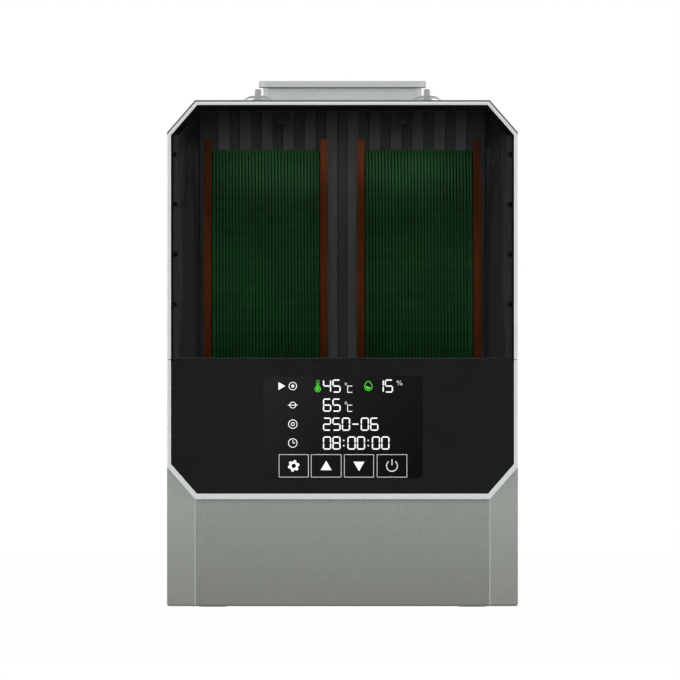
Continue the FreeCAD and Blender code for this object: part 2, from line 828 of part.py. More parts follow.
def hinge_lid_leaves():
    spans = [(-lid_knuckle, lid_knuckle)]
    bore = pin_radius + running_fit
    return Part.Compound([hinge_leaf(side * hinge_x, spans, 1, bore) for side in (-1, 1)])


def hinge_pins():
    ends = leaf_half + pin_head_high
    profile = [(0, -ends), (pin_head, -ends), (pin_head, -leaf_half), (pin_radius, -leaf_half),
               (pin_radius, leaf_half), (pin_head, leaf_half), (pin_head, ends), (0, ends)]
    return Part.Compound([revolved(profile, V(side * hinge_x, hinge_y, parting), AXIS_X) for side in (-1, 1)])


# Lid with its window and liners
sill = 1.2                  # bar of the lid under the window
clip_wide = 2.6
clip_high = 2.8
clip_barb = 0.8
clip_tail = 2.0
clip_from_side = 4.6
clip_pitch = 30.2
clip_rise = 33.5            # lowest clips above the parting line
clip_x = half_width - clip_from_side
clip_levels = [parting + clip_rise + clip_pitch * index for index in range(3)]
vent_y = spool_y
neck_half = 48.1
neck_deep = 32.0
neck_high = 8.1
neck_wall = 2.5
spigot_step = 4.0           # the spigot through the lid is this much smaller than the neck
spigot_wall = 2.1
spigot_drop = 5.0
cap_over = 2.7
cap_reveal = 0.6
cap_thick = 3.9
cap_round = 6.0
cap_edge = 0.8
skirt_wall = 2.0
neck_round = 4.0
room_round = 2.5
leg_half = 3.0
leg_from_side = 12.1        # from the neck's side to the middle of a leg
leg_from_ends = 11.0
leg_drop = 14.0
leg_x = neck_half - leg_from_side
leg_places = [(sx * leg_x, vent_y + sy * (neck_deep - leg_from_ends)) for sx in (-1, 1) for sy in (-1, 1)]
grille_slots = 8
grille_pitch = 7.0
grille_wide = 3.6
grille_ends = 10.0
plug_out = 3.2              # the outlets stand this far outside the neck
plug_ahead = 12.0           # and this far in front of it
plug_x = neck_half + plug_out
plug_y = vent_y - neck_deep - plug_ahead
plug_radius = 1.95
grommet_radius = 3.2
grommet_lip = 1.0
grommet_rim = 0.6


def plan_block(half_x, half_y, z0, z1, radius):
    """Round-cornered block centred on the vent."""
    return rounded_box(-half_x, half_x, vent_y - half_y, vent_y + half_y, z0, z1, radius, AXIS_Z)


def vent_block(inset, z0, z1, radius):
    return plan_block(neck_half - inset, neck_deep - inset, z0, z1, radius)


def lid_shell():
    outer = front_prism(shell_front, back).common(above(lid_bottom))
    rear = [edge for edge in edges_at(outer, lambda p: near(p.y, back))
            if not all(near(vertex.Z, lid_bottom) for vertex in edge.Vertexes)]
    outer = outer.makeFillet(rear_round, rear)
    cavity = even_prism(shell_front + wall, back - wall, wall).common(above(lid_bottom - past))
    through_lip = (shell_front - past, shell_front + wall + past)
    opening = even_prism(*through_lip, lip_reach).common(above(lid_bottom + sill))
    mouth = vent_block(spigot_step - seat_gap, shell_top - 2 * wall, shell_top + past, neck_round)
    cuts = [cavity, opening, mouth] + leaf_screw_holes(1)
    for side in (-1, 1):
        start = V(side * plug_x, plug_y, shell_top - 2 * wall)
        cuts.append(rod(grommet_radius + seat_gap, start, AXIS_Z, 3 * wall))
        for z in clip_levels:
            half = clip_wide / 2 + seat_gap
            middle = side * clip_x
            cuts.append(box(middle - half, middle + half, *through_lip,
                            z - clip_high / 2 - seat_gap, z + clip_high / 2 + seat_gap))
    for cut in cuts:
        outer = outer.cut(cut)
    return outer


def upper_front_frame():
    outer = front_prism(front, shell_front, top=frame_set_in, upper=frame_set_in)
    rise = frame_set_in + frame_top
    inner = front_prism(front - past, shell_front + past, side=frame_side, top=rise, upper=rise)
    return outer.cut(inner).common(above(lid_bottom))


def window():
    rise = frame_set_in + frame_top + seat_gap
    pane = front_prism(panel_front, shell_front, side=frame_side + seat_gap, top=rise, upper=rise)
    return pane.common(above(lid_bottom))


def window_clips():
    """Snap clips through the lip, each with a barb behind it."""
    clips = []
    for side in (-1, 1):
        for z in clip_levels:
            x = side * clip_x
            low = z - clip_high / 2
            lip = shell_front + wall
            end = lip + clip_tail
            shank = box(x - clip_wide / 2, x + clip_wide / 2, shell_front, end, low, low + clip_high)
            tip = x - side * (clip_wide / 2 + clip_barb)
            barb = prism([V(x, lip, low), V(tip, lip, low), V(x, end, low)], V(0, 0, clip_high))
            clips.append(joined([shank, barb]))
    return Part.Compound(clips)


liner_thick = 2.0
liner_behind = 3.0          # the side liners start this far behind the lip
liner_clear = 3.2           # between a spool and the rear end of a liner
liner_front = shell_front + wall + liner_behind
liner_rear = back - wall - liner_thick - slide_gap
liner_out = half_width - wall - seat_gap
liner_in = spool_x + spool_width / 2 + liner_clear
liner_lift = 0.4            # the liners clear the seal by this much
ring_height = 0.8
ring_half = 1.2
ring_steps = (-1.0, 13.5, 23.5)     # how far each ring lies inside the spool's edge
ring_radii = [spool_radius - step for step in ring_steps]
web_count = 3
web_thick = 2.0


def lid_space():
    """Room inside the lid, a little clear of its walls."""
    inset = wall + seat_gap
    return even_prism(shell_front + wall, back - wall, inset).common(above(lid_bottom + liner_lift))


def side_liner():
    """Drafted panel beside the right-hand spool, with raised rings around the spool's axis."""
    low = lid_bottom

    def sheet(inner_shift, outer_shift):
        corners = [(liner_out - liner_thick + inner_shift, liner_front), (liner_in + inner_shift, liner_rear),
                   (liner_in + liner_thick + outer_shift, liner_rear), (liner_out + outer_shift, liner_front)]
        return prism([V(x, y, low) for x, y in corners], V(0, 0, shell_top - low))

    band = sheet(-ring_height, -liner_thick / 2)
    axle = V(0, spool_y, spool_z)
    rings = [band.common(tube(radius + ring_half, radius - ring_half, axle, AXIS_X, half_width))
             for radius in ring_radii]
    webs = []
    for index in range(web_count):
        z = low + (shell_top - low) * (index + 1) / (web_count + 1)
        inner = liner_in + liner_thick - sink
        points = [V(liner_out, liner_front, z), V(inner, liner_rear, z), V(liner_out, liner_rear, z)]
        webs.append(prism(points, V(0, 0, web_thick)))
    return joined([sheet(0.0, 0.0)] + rings + webs).common(lid_space())


rib_pitch = 13.2
rib_wide = 6.9
rib_deep = 5.0
rib_draft = 0.5
rib_edge = 1.0              # between the ribbed panel and the side liners


def rear_liner():
    """Ribbed panel on the rear wall: one corrugated profile drawn up."""
    plate_front = back - wall - liner_thick
    edge = liner_in - rib_edge
    ribs_each_side = int((edge - rib_wide / 2) / rib_pitch + 0.5)
    z = lid_bottom
    points = [V(-edge, back - wall, z), V(-edge, plate_front, z)]
    for index in range(-ribs_each_side, ribs_each_side):
        middle = (index + 0.5) * rib_pitch
        points += [V(middle - rib_wide / 2 - rib_draft, plate_front, z),
                   V(middle - rib_wide / 2, plate_front - rib_deep, z),
                   V(middle + rib_wide / 2, plate_front - rib_deep, z),
                   V(middle + rib_wide / 2 + rib_draft, plate_front, z)]
    points += [V(edge, plate_front, z), V(edge, back - wall, z)]
    return prism(points, V(0, 0, shell_top - z)).common(lid_space())


def vent_collar():
    """Neck on the lid with a spigot through it and a grille that the cap's legs pass."""
    low = shell_top - spigot_drop - past
    neck = vent_block(0.0, shell_top, shell_top + neck_high, neck_round)
    spigot = vent_block(spigot_step, shell_top - spigot_drop, shell_top + past, neck_round)
    wide_room = vent_block(neck_wall, shell_top + past, shell_top + neck_high + past, room_round)
    room = vent_block(spigot_step + spigot_wall, shell_top - 2 * past, shell_top + 2 * past, room_round)
    long = 2 * (neck_deep - grille_ends)
    grille = slot_row(grille_slots, grille_pitch, long, grille_wide, 0.0, vent_y, low, shell_top)
    reach = leg_half + slide_gap
    guides = [box(x - reach, x + reach, y - reach, y + reach, low, shell_top) for x, y in leg_places]
    return joined([neck, spigot]).cut(wide_room).cut(room).cut(Part.Compound(grille + guides))


def vent_cap():
    bottom = shell_top + neck_high + cap_reveal
    slab = plan_block(neck_half + cap_over, neck_deep + cap_over, bottom, bottom + cap_thick, cap_round)
    slab = slab.makeFillet(cap_edge, edges_at(slab, lambda p: near(p.z, bottom + cap_thick)))
    skirt_in = neck_wall + slide_gap
    outer = vent_block(skirt_in, shell_top + past, bottom + sink, room_round - slide_gap)
    inner = vent_block(skirt_in + skirt_wall, shell_top, bottom, skirt_wall)
    low = shell_top - leg_drop
    legs = [box(x - leg_half, x + leg_half, y - leg_half, y + leg_half, low, bottom + sink)
            for x, y in leg_places]
    return joined([slab, outer.cut(inner)] + legs)


def outlet_grommets():
    bore = plug_radius + running_fit
    lip = grommet_radius + grommet_lip
    under = -wall - grommet_rim
    profile = [(bore, under), (lip, under), (lip, -wall), (grommet_radius, -wall), (grommet_radius, 0),
               (lip, 0), (lip, grommet_rim), (bore, grommet_rim)]
    return Part.Compound([revolved(profile, V(side * plug_x, plug_y, shell_top), AXIS_Z) for side in (-1, 1)])


stem_tip = 1.2
stem_below = 6.0
stem_above = 7.5
stem_dome = 0.6
collar_radius = 3.2
collar_high = 0.9
wing_reach = 8.3
wing_half = 2.6
wing_low = [(0.0, 1.5), (2.5, 1.9), (5.3, 1.8), (wing_reach, 0.7)]      # underside, from the stem out
wing_high = [(wing_reach, 1.4), (5.5, 3.1), (2.5, 3.5), (0.0, 3.2)]     # upper side, back to the stem
wing_tall = 5.0


def outlet_plug(sign):
    """Stem through the grommet, with a collar on it and two leaf-shaped wings to pull it by."""
    profile = [(0, -stem_below), (stem_tip, -stem_below), (plug_radius, past - stem_below),
               (plug_radius, stem_above - stem_dome), (plug_radius - stem_dome, stem_above), (0, stem_above)]
    stem = revolved(profile, V(0, 0, 0), AXIS_Z)
    collar = tube(collar_radius, plug_radius - sink, V(0, 0, grommet_rim), AXIS_Z, collar_high)
    tips = (V(-wing_reach, 0, 0), V(wing_reach, 0, 0))
    leaf = Part.Wire([Part.Arc(tips[0], V(0, -wing_half, 0), tips[1]).toShape(),
                      Part.Arc(tips[1], V(0, wing_half, 0), tips[0]).toShape()])
    outline = Part.Face(leaf).extrude(V(0, 0, wing_tall))
    right = prism([V(x, -wing_half, z) for x, z in wing_low + wing_high], V(0, 2 * wing_half, 0))
    wings = right.fuse(mirrored(right)).common(outline)
    plug = joined([stem, collar, wings])
    plug.translate(V(sign * plug_x, plug_y, shell_top))
    return plug


# Spools with their filament
hub_outer = 43.0
hub_wall = 3.0
tuck_count = 4              # holes in a flange to tuck the filament's end into
tuck_radius = 2.5
tuck_in = 4.0
winding_below = 6.3         # outer layer below the flanges' rim
winding_radius = spool_radius - winding_below
winding_half = spool_width / 2 - flange_thick
coil_radius = winding_radius - filament_tube / 2
coil_reach = winding_half - filament_tube / 2 - slide_gap
coil_pitch = 2 * coil_reach / turn_count
core_radius = coil_radius - filament_tube / 2 - slide_gap
samples_per_turn = 180
strand_sides = 8            # few flats around the strand keep the long winding light


def spool_flanges(side):
    discs = []
    for end in (-1, 1):
        start = V(side * spool_x + end * flange_mid - flange_thick / 2, spool_y, spool_z)
        disc = tube(spool_radius, spool_bore / 2, start, AXIS_X, flange_thick)
        holes = []
        for index in range(tuck_count):
            rim_point = start + V(-past, 0, spool_radius - tuck_in)
            hole = rod(tuck_radius, rim_point, AXIS_X, flange_thick + 2 * past)
            hole.rotate(start, AXIS_X, 360 / tuck_count * (index + 0.5))
            holes.append(hole)
        discs.append(disc.cut(Part.Compound(holes)))
    return Part.Compound(discs)


def spool_core(side):
    start = V(side * spool_x - winding_half, spool_y, spool_z)
    return tube(hub_outer, hub_outer - hub_wall, start, AXIS_X, 2 * winding_half)


def filament_core(side):
    start = V(side * spool_x - winding_half, spool_y, spool_z)
    return tube(core_radius, hub_outer + seat_gap, start, AXIS_X, 2 * winding_half)


def coil_point(angle):
    """Point on the outer layer's helix and its direction there."""
    rise = coil_pitch / (2 * math.pi)
    point = V(-coil_reach + rise * angle, coil_radius * math.cos(angle), coil_radius * math.sin(angle))
    direction = V(rise, -coil_radius * math.sin(angle), coil_radius * math.cos(angle))
    return point, direction.normalize()


def arc_from(start, direction, end):
    """Arc that leaves the start in the given direction and reaches the end."""
    chord = end - start
    turn = math.acos(max(-1.0, min(1.0, direction.dot(chord) / chord.Length)))
    bulge = direction - chord * (direction.dot(chord) / chord.Length ** 2)
    middle = start + chord * 0.5 + bulge.normalize() * (chord.Length / 2 * math.tan(turn / 2))
    return Part.Arc(start, middle, end).toShape()


def biarc(start, leave, end, arrive):
    """Two arcs that meet smoothly and keep the directions at both ends."""
    chord = end - start
    both = leave + arrive
    spread = 2 * (1 - leave.dot(arrive))
    reach = (-chord.dot(both) + math.sqrt(chord.dot(both) ** 2 + spread * chord.dot(chord))) / spread
    joint = (start + end + (leave - arrive) * reach) * 0.5
    backwards = arc_from(end, arrive * -1, joint)
    middle = backwards.valueAt((backwards.FirstParameter + backwards.LastParameter) / 2)
    return [arc_from(start, leave, joint), Part.Arc(joint, middle, end).toShape()]


def coil_wire():
    """Path of the outer layer: biarcs of half a turn, with a straight run at each end."""
    edges = []
    for index in range(2 * turn_count):
        start, leave = coil_point(index * math.pi)
        end, arrive = coil_point((index + 1) * math.pi)
        edges += biarc(start, leave, end, arrive)
    first, leave = coil_point(0.0)
    last, arrive = coil_point(2 * turn_count * math.pi)
    lead_in = Part.makeLine(first - leave * filament_tube, first)
    lead_out = Part.makeLine(last, last + arrive * filament_tube)
    return Part.Wire([lead_in] + edges + [lead_out])


def least_gap(wire):
    """Least distance between neighbouring turns, measured on points, less the tube's diameter."""
    points = wire.discretize(Number=samples_per_turn * turn_count)
    least = coil_radius
    window = samples_per_turn // 12
    for index, point in enumerate(points):
        for other in points[index + samples_per_turn - window:index + samples_per_turn + window]:
            least = min(least, point.distanceToPoint(other))
    return least - filament_tube


def filament_turns():
    """Outer layer of one spool as an unbroken tube, around the X axis at the origin."""
    wire = coil_wire()
    print("least gap between filament turns:", round(least_gap(wire), 3))
    start, leave = coil_point(0.0)
    centre = start - leave * filament_tube
    across = leave.cross(V(0, 1, 0)).normalize() * (filament_tube / 2)
    beside = leave.cross(across)
    corners = []
    for index in range(strand_sides):
        angle = 2 * math.pi * (index + 0.5) / strand_sides
        corners.append(centre + across * math.cos(angle) + beside * math.sin(angle))
    return wire.makePipeShell([Part.makePolygon(corners + corners[:1])], True, False)


def moved(shape, offset):
    copy = shape.copy()
    copy.translate(offset)
    return copy


def export(name, shape):
    print(name, "valid" if shape.isValid() else "NOT VALID", len(shape.Solids))
    shape.exportStep("parts/" + name + ".step")


single_nodes = [
    base_housing, bottom_plate, rubber_feet, bottom_screws, lower_front_frame, control_panel, display_lens,
    display_module, control_board, chamber_tray, roller_bearings, air_duct, heater_core, fan_frame, fan_rotor,
    fan_screws, power_board, power_inlet, inlet_pins, humidity_sensor, base_seal, hinge_base_leaves,
    hinge_base_screws, hinge_pins, lid_shell, upper_front_frame, window, window_clips, rear_liner,
    hinge_lid_leaves, hinge_lid_screws, vent_collar, vent_cap, outlet_grommets,
]
for make in single_nodes:
    export(make.__name__, make())
right_liner = side_liner()
export("right_side_liner", right_liner)
export("left_side_liner", mirrored(right_liner))
turns = filament_turns()
for word, side in SIDES:
    export(word + "_roller_cradle", roller_cradle(side))
    export(word + "_outlet_plug", outlet_plug(side))
    export(word + "_spool_flanges", spool_flanges(side))
    export(word + "_spool_core", spool_core(side))
    export(word + "_filament_core", filament_core(side))
    export(word + "_filament_turns", moved(turns, V(side * spool_x, spool_y, spool_z)))
    for place, sy in (("front", -1), ("rear", 1)):
        export(word + "_" + place + "_shaft", roller_shaft(side, sy))
        export(word + "_" + place + "_rollers", rollers(side, sy))
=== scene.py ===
import json
import math

import bpy
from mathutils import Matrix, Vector


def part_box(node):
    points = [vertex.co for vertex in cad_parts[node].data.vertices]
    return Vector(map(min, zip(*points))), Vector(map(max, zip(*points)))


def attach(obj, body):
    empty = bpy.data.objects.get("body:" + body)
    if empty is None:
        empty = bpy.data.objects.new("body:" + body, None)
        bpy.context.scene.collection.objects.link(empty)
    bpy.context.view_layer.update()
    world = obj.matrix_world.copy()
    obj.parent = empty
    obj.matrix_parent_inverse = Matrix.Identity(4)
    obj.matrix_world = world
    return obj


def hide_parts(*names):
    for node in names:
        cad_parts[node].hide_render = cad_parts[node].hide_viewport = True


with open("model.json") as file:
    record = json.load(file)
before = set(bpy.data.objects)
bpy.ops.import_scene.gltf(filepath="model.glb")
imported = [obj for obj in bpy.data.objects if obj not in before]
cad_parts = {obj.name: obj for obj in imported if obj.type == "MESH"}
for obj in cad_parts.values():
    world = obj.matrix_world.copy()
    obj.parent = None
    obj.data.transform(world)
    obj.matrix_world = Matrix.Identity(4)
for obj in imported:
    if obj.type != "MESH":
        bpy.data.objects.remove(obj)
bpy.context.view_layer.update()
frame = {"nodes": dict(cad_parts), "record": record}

# A filament dryer box for two spools: its finishes, edges, display and winding, and the light it is seen in

MM = 0.001
FORWARD = 0.9               # a face looks forward when this much of its normal does
FLAT = 0.99                 # and lies flat to the front when this much does
NEAR = 0.05 * MM            # how close counts as on an edge
BESIDE = 0.5 * MM           # how close counts as on a face

# Places taken from the CAD nodes, in metres
lens_low, lens_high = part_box("display_lens")
lid_low, lid_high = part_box("lid_shell")
front_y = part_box("lower_front_frame")[0][1]
front_edge_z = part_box("lower_front_frame")[0][2]
glass_y = lens_low[1]
display_x = (lens_low[0] + lens_high[0]) / 2
display_z = (lens_low[2] + lens_high[2]) / 2


# Small helpers for shader nodes


def colour(text):
    """Linear colour with alpha from an sRGB hex value."""
    values = [int(text[index:index + 2], 16) / 255 for index in (1, 3, 5)]
    linear = [v / 12.92 if v <= 0.04045 else ((v + 0.055) / 1.055) ** 2.4 for v in values]
    return (*linear, 1.0)


def add(tree, kind, inputs=None, stops=(), **settings):
    """Add a shader node with its settings, set or link its inputs, and give a colour ramp its stops."""
    item = tree.nodes.new(kind)
    for name, value in settings.items():
        setattr(item, name, value)
    for name, value in (inputs or {}).items():
        if isinstance(value, bpy.types.NodeSocket):
            tree.links.new(value, item.inputs[name])
        else:
            item.inputs[name].default_value = value
    if stops:
        elements = item.color_ramp.elements
        while len(elements) < len(stops):
            elements.new(0.5)
        for element, (position, text) in zip(elements, stops):
            element.position = position
            element.color = colour(text)
    return item


def start_material(name, **sockets):
    """New material with a shader whose plain sockets are set by name."""
    material = bpy.data.materials.new(name)
    material.use_nodes = True
    tree = material.node_tree
    tree.nodes.clear()
    plain = {key.replace("_", " "): value for key, value in sockets.items()}
    shader = add(tree, "ShaderNodeBsdfPrincipled", plain)
    add(tree, "ShaderNodeOutputMaterial", {"Surface": shader.outputs["BSDF"]})
    place = add(tree, "ShaderNodeTexCoord").outputs["Object"]
    return material, tree, shader, place


def drive(tree, shader, **patterns):
    """Link patterns to the shader's sockets by name."""
    for key, pattern in patterns.items():
        tree.links.new(pattern, shader.inputs[key.replace("_", " ")])


def per_mm(size_mm):
    """Noise scale whose features are about this many millimetres across."""
    return 1.0 / (size_mm * MM)


def seen_share(tree):
    """1 where a surface is seen, plainly, mirrored or through a pane, and 0 where it only gives light."""
    path = add(tree, "ShaderNodeLightPath")
    seen = path.outputs["Is Camera Ray"]
    for ray in ("Is Glossy Ray", "Is Transmission Ray"):
        more = add(tree, "ShaderNodeMath", {0: seen, 1: path.outputs[ray]}, operation="MAXIMUM")
        seen = more.outputs["Value"]
    return seen


# Materials, each named for what the real one is


def textured_grey_abs():
    """Moulded ABS of the housing with a spark-eroded grain: matt grey with specks, with painted shade that
    darkens it toward the foot.
    """
    material, tree, shader, place = start_material("textured_grey_abs", IOR=1.54)
    grit = add(tree, "ShaderNodeTexNoise",
               {"Vector": place, "Scale": per_mm(0.7), "Detail": 5.0, "Roughness": 0.7}).outputs["Fac"]
    specks = add(tree, "ShaderNodeValToRGB", {"Fac": grit},
                 [(0.30, "#8B8F8B"), (0.50, "#9A9E99"), (0.70, "#A9ADA8")])
    # painted shade: below the lower edge of the front frame the grey is darkened more and more toward the
    # foot
    height = add(tree, "ShaderNodeSeparateXYZ", {"Vector": place})
    foot_shade = add(tree, "ShaderNodeMapRange", {"Value": height.outputs["Z"], "From Max": front_edge_z})
    shade = add(tree, "ShaderNodeValToRGB", {"Fac": foot_shade.outputs["Result"]},
                [(0.0, "#D9D9D7"), (1.0, "#FFFFFF")])
    mixed = add(tree, "ShaderNodeMix", {0: 1.0, 6: specks.outputs["Color"], 7: shade.outputs["Color"]},
                data_type="RGBA", blend_type="MULTIPLY")
    rough = add(tree, "ShaderNodeMapRange", {"Value": grit, "To Min": 0.42, "To Max": 0.62})
    bump = add(tree, "ShaderNodeBump", {"Height": grit, "Strength": 0.35, "Distance": 0.06 * MM})
    drive(tree, shader, Base_Color=mixed.outputs[2], Roughness=rough.outputs["Result"],
          Normal=bump.outputs["Normal"])
    return material


def brushed_anodised_aluminium():
    """Extruded aluminium, brushed along its length and clear anodised: pale satin with faint streaks."""
    material, tree, shader, place = start_material("brushed_anodised_aluminium", Metallic=0.85)
    stretch = add(tree, "ShaderNodeMapping", {"Vector": place, "Scale": (1.0, 1.0, 0.06)})
    streaks = add(tree, "ShaderNodeTexNoise",
                  {"Vector": stretch.outputs["Vector"], "Scale": per_mm(0.7), "Detail": 3.0}).outputs["Fac"]
    tone = add(tree, "ShaderNodeValToRGB", {"Fac": streaks}, [(0.3, "#CBCECF"), (0.7, "#D4D6D7")])
    rough = add(tree, "ShaderNodeMapRange", {"Value": streaks, "To Min": 0.38, "To Max": 0.43})
    drive(tree, shader, Base_Color=tone.outputs["Color"], Roughness=rough.outputs["Result"])
    return material


def gloss_black_acrylic():
    """Back-painted acrylic of the control panel: deep black under a hard, nearly clean gloss."""
    material, tree, shader, place = start_material("gloss_black_acrylic", IOR=1.49, Specular_IOR_Level=0.1)
    haze = add(tree, "ShaderNodeTexNoise",
               {"Vector": place, "Scale": per_mm(25), "Detail": 3.0}).outputs["Fac"]
    tone = add(tree, "ShaderNodeValToRGB", {"Fac": haze}, [(0.3, "#131313"), (0.7, "#161616")])
    rough = add(tree, "ShaderNodeMapRange", {"Value": haze, "To Min": 0.30, "To Max": 0.38})
    drive(tree, shader, Base_Color=tone.outputs["Color"], Roughness=rough.outputs["Result"])
    return material


def smoked_polycarbonate():
    """Smoke-tinted polycarbonate window: most of the light goes through each face."""
    material, tree, shader, place = start_material("smoked_polycarbonate", IOR=1.58, Alpha=0.2,
                                                   Specular_IOR_Level=0.02)
    haze = add(tree, "ShaderNodeTexNoise",
               {"Vector": place, "Scale": per_mm(30), "Detail": 2.0}).outputs["Fac"]
    tone = add(tree, "ShaderNodeValToRGB", {"Fac": haze}, [(0.3, "#0B0B0C"), (0.7, "#0E0E0F")])
    rough = add(tree, "ShaderNodeMapRange", {"Value": haze, "To Min": 0.08, "To Max": 0.12})
    drive(tree, shader, Base_Color=tone.outputs["Color"], Roughness=rough.outputs["Result"])
    return material


def printed_ink():
    """Black ink printed on the window: dense and matt, without a shine of its own."""
    material, tree, shader, place = start_material("printed_black_ink", IOR=1.5, Roughness=0.5,
                                                   Specular_IOR_Level=0.02)
    dots = add(tree, "ShaderNodeTexNoise", {"Vector": place, "Scale": per_mm(0.4), "Detail": 2.0})
    tone = add(tree, "ShaderNodeValToRGB", {"Fac": dots.outputs["Fac"]}, [(0.3, "#080808"), (0.7, "#0D0D0D")])
    drive(tree, shader, Base_Color=tone.outputs["Color"])
    return material


def display_glass():
    """Cover glass of the display: a painted reflection makes it dark grey at its upper left, fading to black
    at its lower right.
    """
    material, tree, shader, place = start_material("display_glass", IOR=1.52, Roughness=0.3,
                                                   Specular_IOR_Level=0.05)
    slope = 0.75
    span = (lens_high[0] - lens_low[0]) / 2 + slope * (lens_high[2] - lens_low[2]) / 2
    centred = add(tree, "ShaderNodeMapping", {"Vector": place, "Location": (-display_x, 0.0, -display_z)})
    along = add(tree, "ShaderNodeVectorMath", {0: centred.outputs["Vector"], 1: (1.0, 0.0, -slope)},
                operation="DOT_PRODUCT")
    part = add(tree, "ShaderNodeMapRange",
               {"Value": along.outputs["Value"], "From Min": -span, "From Max": span})
    # painted reflection: paler at the upper left, black at the lower right
    tone = add(tree, "ShaderNodeValToRGB", {"Fac": part.outputs["Result"]},
               [(0.0, "#272727"), (0.45, "#181818"), (1.0, "#030303")])
    drive(tree, shader, Base_Color=tone.outputs["Color"])
    return material


def lit_segment(name, pale, deep, strength):
    """Back-lit segment of the display: an even glow, a little weaker in patches."""
    material, tree, shader, place = start_material(name, Roughness=0.5, Emission_Strength=strength)
    patch = add(tree, "ShaderNodeTexNoise", {"Vector": place, "Scale": per_mm(6), "Detail": 1.0})
    glow = add(tree, "ShaderNodeValToRGB", {"Fac": patch.outputs["Fac"]}, [(0.3, deep), (0.7, pale)])
    drive(tree, shader, Base_Color=glow.outputs["Color"], Emission_Color=glow.outputs["Color"])
    return material


def moulded_abs(name, dark, light, sheen=0.5):
    """Injection-moulded ABS with a spark-eroded grain: matt and very slightly mottled."""
    material, tree, shader, place = start_material(name, IOR=1.54, Specular_IOR_Level=sheen)
    grain = add(tree, "ShaderNodeTexNoise",
                {"Vector": place, "Scale": per_mm(0.8), "Detail": 4.0}).outputs["Fac"]
    tone = add(tree, "ShaderNodeValToRGB", {"Fac": grain}, [(0.3, dark), (0.7, light)])
    rough = add(tree, "ShaderNodeMapRange", {"Value": grain, "To Min": 0.5, "To Max": 0.68})
    bump = add(tree, "ShaderNodeBump", {"Height": grain, "Strength": 0.3, "Distance": 0.05 * MM})
    drive(tree, shader, Base_Color=tone.outputs["Color"], Roughness=rough.outputs["Result"],
          Normal=bump.outputs["Normal"])
    return material


def pressed_board():
    """Laminated kraft board of the spool flanges: plies show as lines on the rim, fibres on the faces."""
    material, tree, shader, place = start_material("pressed_kraft_board", IOR=1.45, Specular_IOR_Level=0.15)
    stretch = add(tree, "ShaderNodeMapping", {"Vector": place, "Scale": (1.0, 0.02, 0.02)})
    plies = add(tree, "ShaderNodeTexNoise",
                {"Vector": stretch.outputs["Vector"], "Scale": per_mm(0.9), "Detail": 3.0}).outputs["Fac"]
    fibres = add(tree, "ShaderNodeTexNoise",
                 {"Vector": place, "Scale": per_mm(2.5), "Detail": 6.0, "Roughness": 0.7}).outputs["Fac"]
    both = add(tree, "ShaderNodeMath", {0: plies, 1: fibres}, operation="ADD")
    half = add(tree, "ShaderNodeMath",
               {0: both.outputs["Value"], 1: 0.5}, operation="MULTIPLY").outputs["Value"]
    tone = add(tree, "ShaderNodeValToRGB", {"Fac": half},
               [(0.3, "#5C2A0A"), (0.5, "#753810"), (0.7, "#8B4819")])
    rough = add(tree, "ShaderNodeMapRange", {"Value": fibres, "To Min": 0.65, "To Max": 0.9})
    bump = add(tree, "ShaderNodeBump", {"Height": half, "Strength": 0.4, "Distance": 0.1 * MM})
    drive(tree, shader, Base_Color=tone.outputs["Color"], Roughness=rough.outputs["Result"],
          Normal=bump.outputs["Normal"])
    return material


def green_filament():
    """Extruded PLA, dyed through, with painted light on each strand: a painted highlight along its crest, and
    painted shade where it meets the next.
    """
    material, tree, shader, place = start_material("extruded_green_pla", IOR=1.46, Specular_IOR_Level=0.2)
    low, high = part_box("left_filament_turns")
    crest = (high[2] - low[2]) / 2
    strand_shade_deep = 1.1 * MM
    axle = (0.0, -(low[1] + high[1]) / 2, -(low[2] + high[2]) / 2)
    centred = add(tree, "ShaderNodeMapping", {"Vector": place, "Scale": (0.0, 1.0, 1.0), "Location": axle})
    reach = add(tree, "ShaderNodeVectorMath", {0: centred.outputs["Vector"]}, operation="LENGTH")
    # painted highlight and shade: by distance from the axle, dark in the grooves between strands and pale on
    # their crests
    height = add(tree, "ShaderNodeMapRange",
                 {"Value": reach.outputs["Value"], "From Min": crest - strand_shade_deep, "From Max": crest})
    batch = add(tree, "ShaderNodeTexNoise",
                {"Vector": place, "Scale": per_mm(18), "Detail": 4.0}).outputs["Fac"]
    tone = add(tree, "ShaderNodeValToRGB", {"Fac": height.outputs["Result"]},
               [(0.0, "#061508"), (0.6, "#11431D"), (0.95, "#297D3A")])
    shade = add(tree, "ShaderNodeValToRGB", {"Fac": batch}, [(0.3, "#D8D8D8"), (0.7, "#FFFFFF")])
    mixed = add(tree, "ShaderNodeMix", {0: 1.0, 6: tone.outputs["Color"], 7: shade.outputs["Color"]},
                data_type="RGBA", blend_type="MULTIPLY")
    rough = add(tree, "ShaderNodeMapRange", {"Value": batch, "To Min": 0.45, "To Max": 0.58})
    drive(tree, shader, Base_Color=mixed.outputs[2], Roughness=rough.outputs["Result"])
    return material


def soft_rubber(name, dark, light, roughness):
    """Moulded silicone or EPDM: matt, with a faint bloom of dust."""
    material, tree, shader, place = start_material(name, IOR=1.41, Roughness=roughness)
    bloom = add(tree, "ShaderNodeTexNoise",
                {"Vector": place, "Scale": per_mm(3.5), "Detail": 5.0}).outputs["Fac"]
    tone = add(tree, "ShaderNodeValToRGB", {"Fac": bloom}, [(0.3, dark), (0.75, light)])
    bump = add(tree, "ShaderNodeBump", {"Height": bloom, "Strength": 0.2, "Distance": 0.04 * MM})
    drive(tree, shader, Base_Color=tone.outputs["Color"], Normal=bump.outputs["Normal"])
    return material


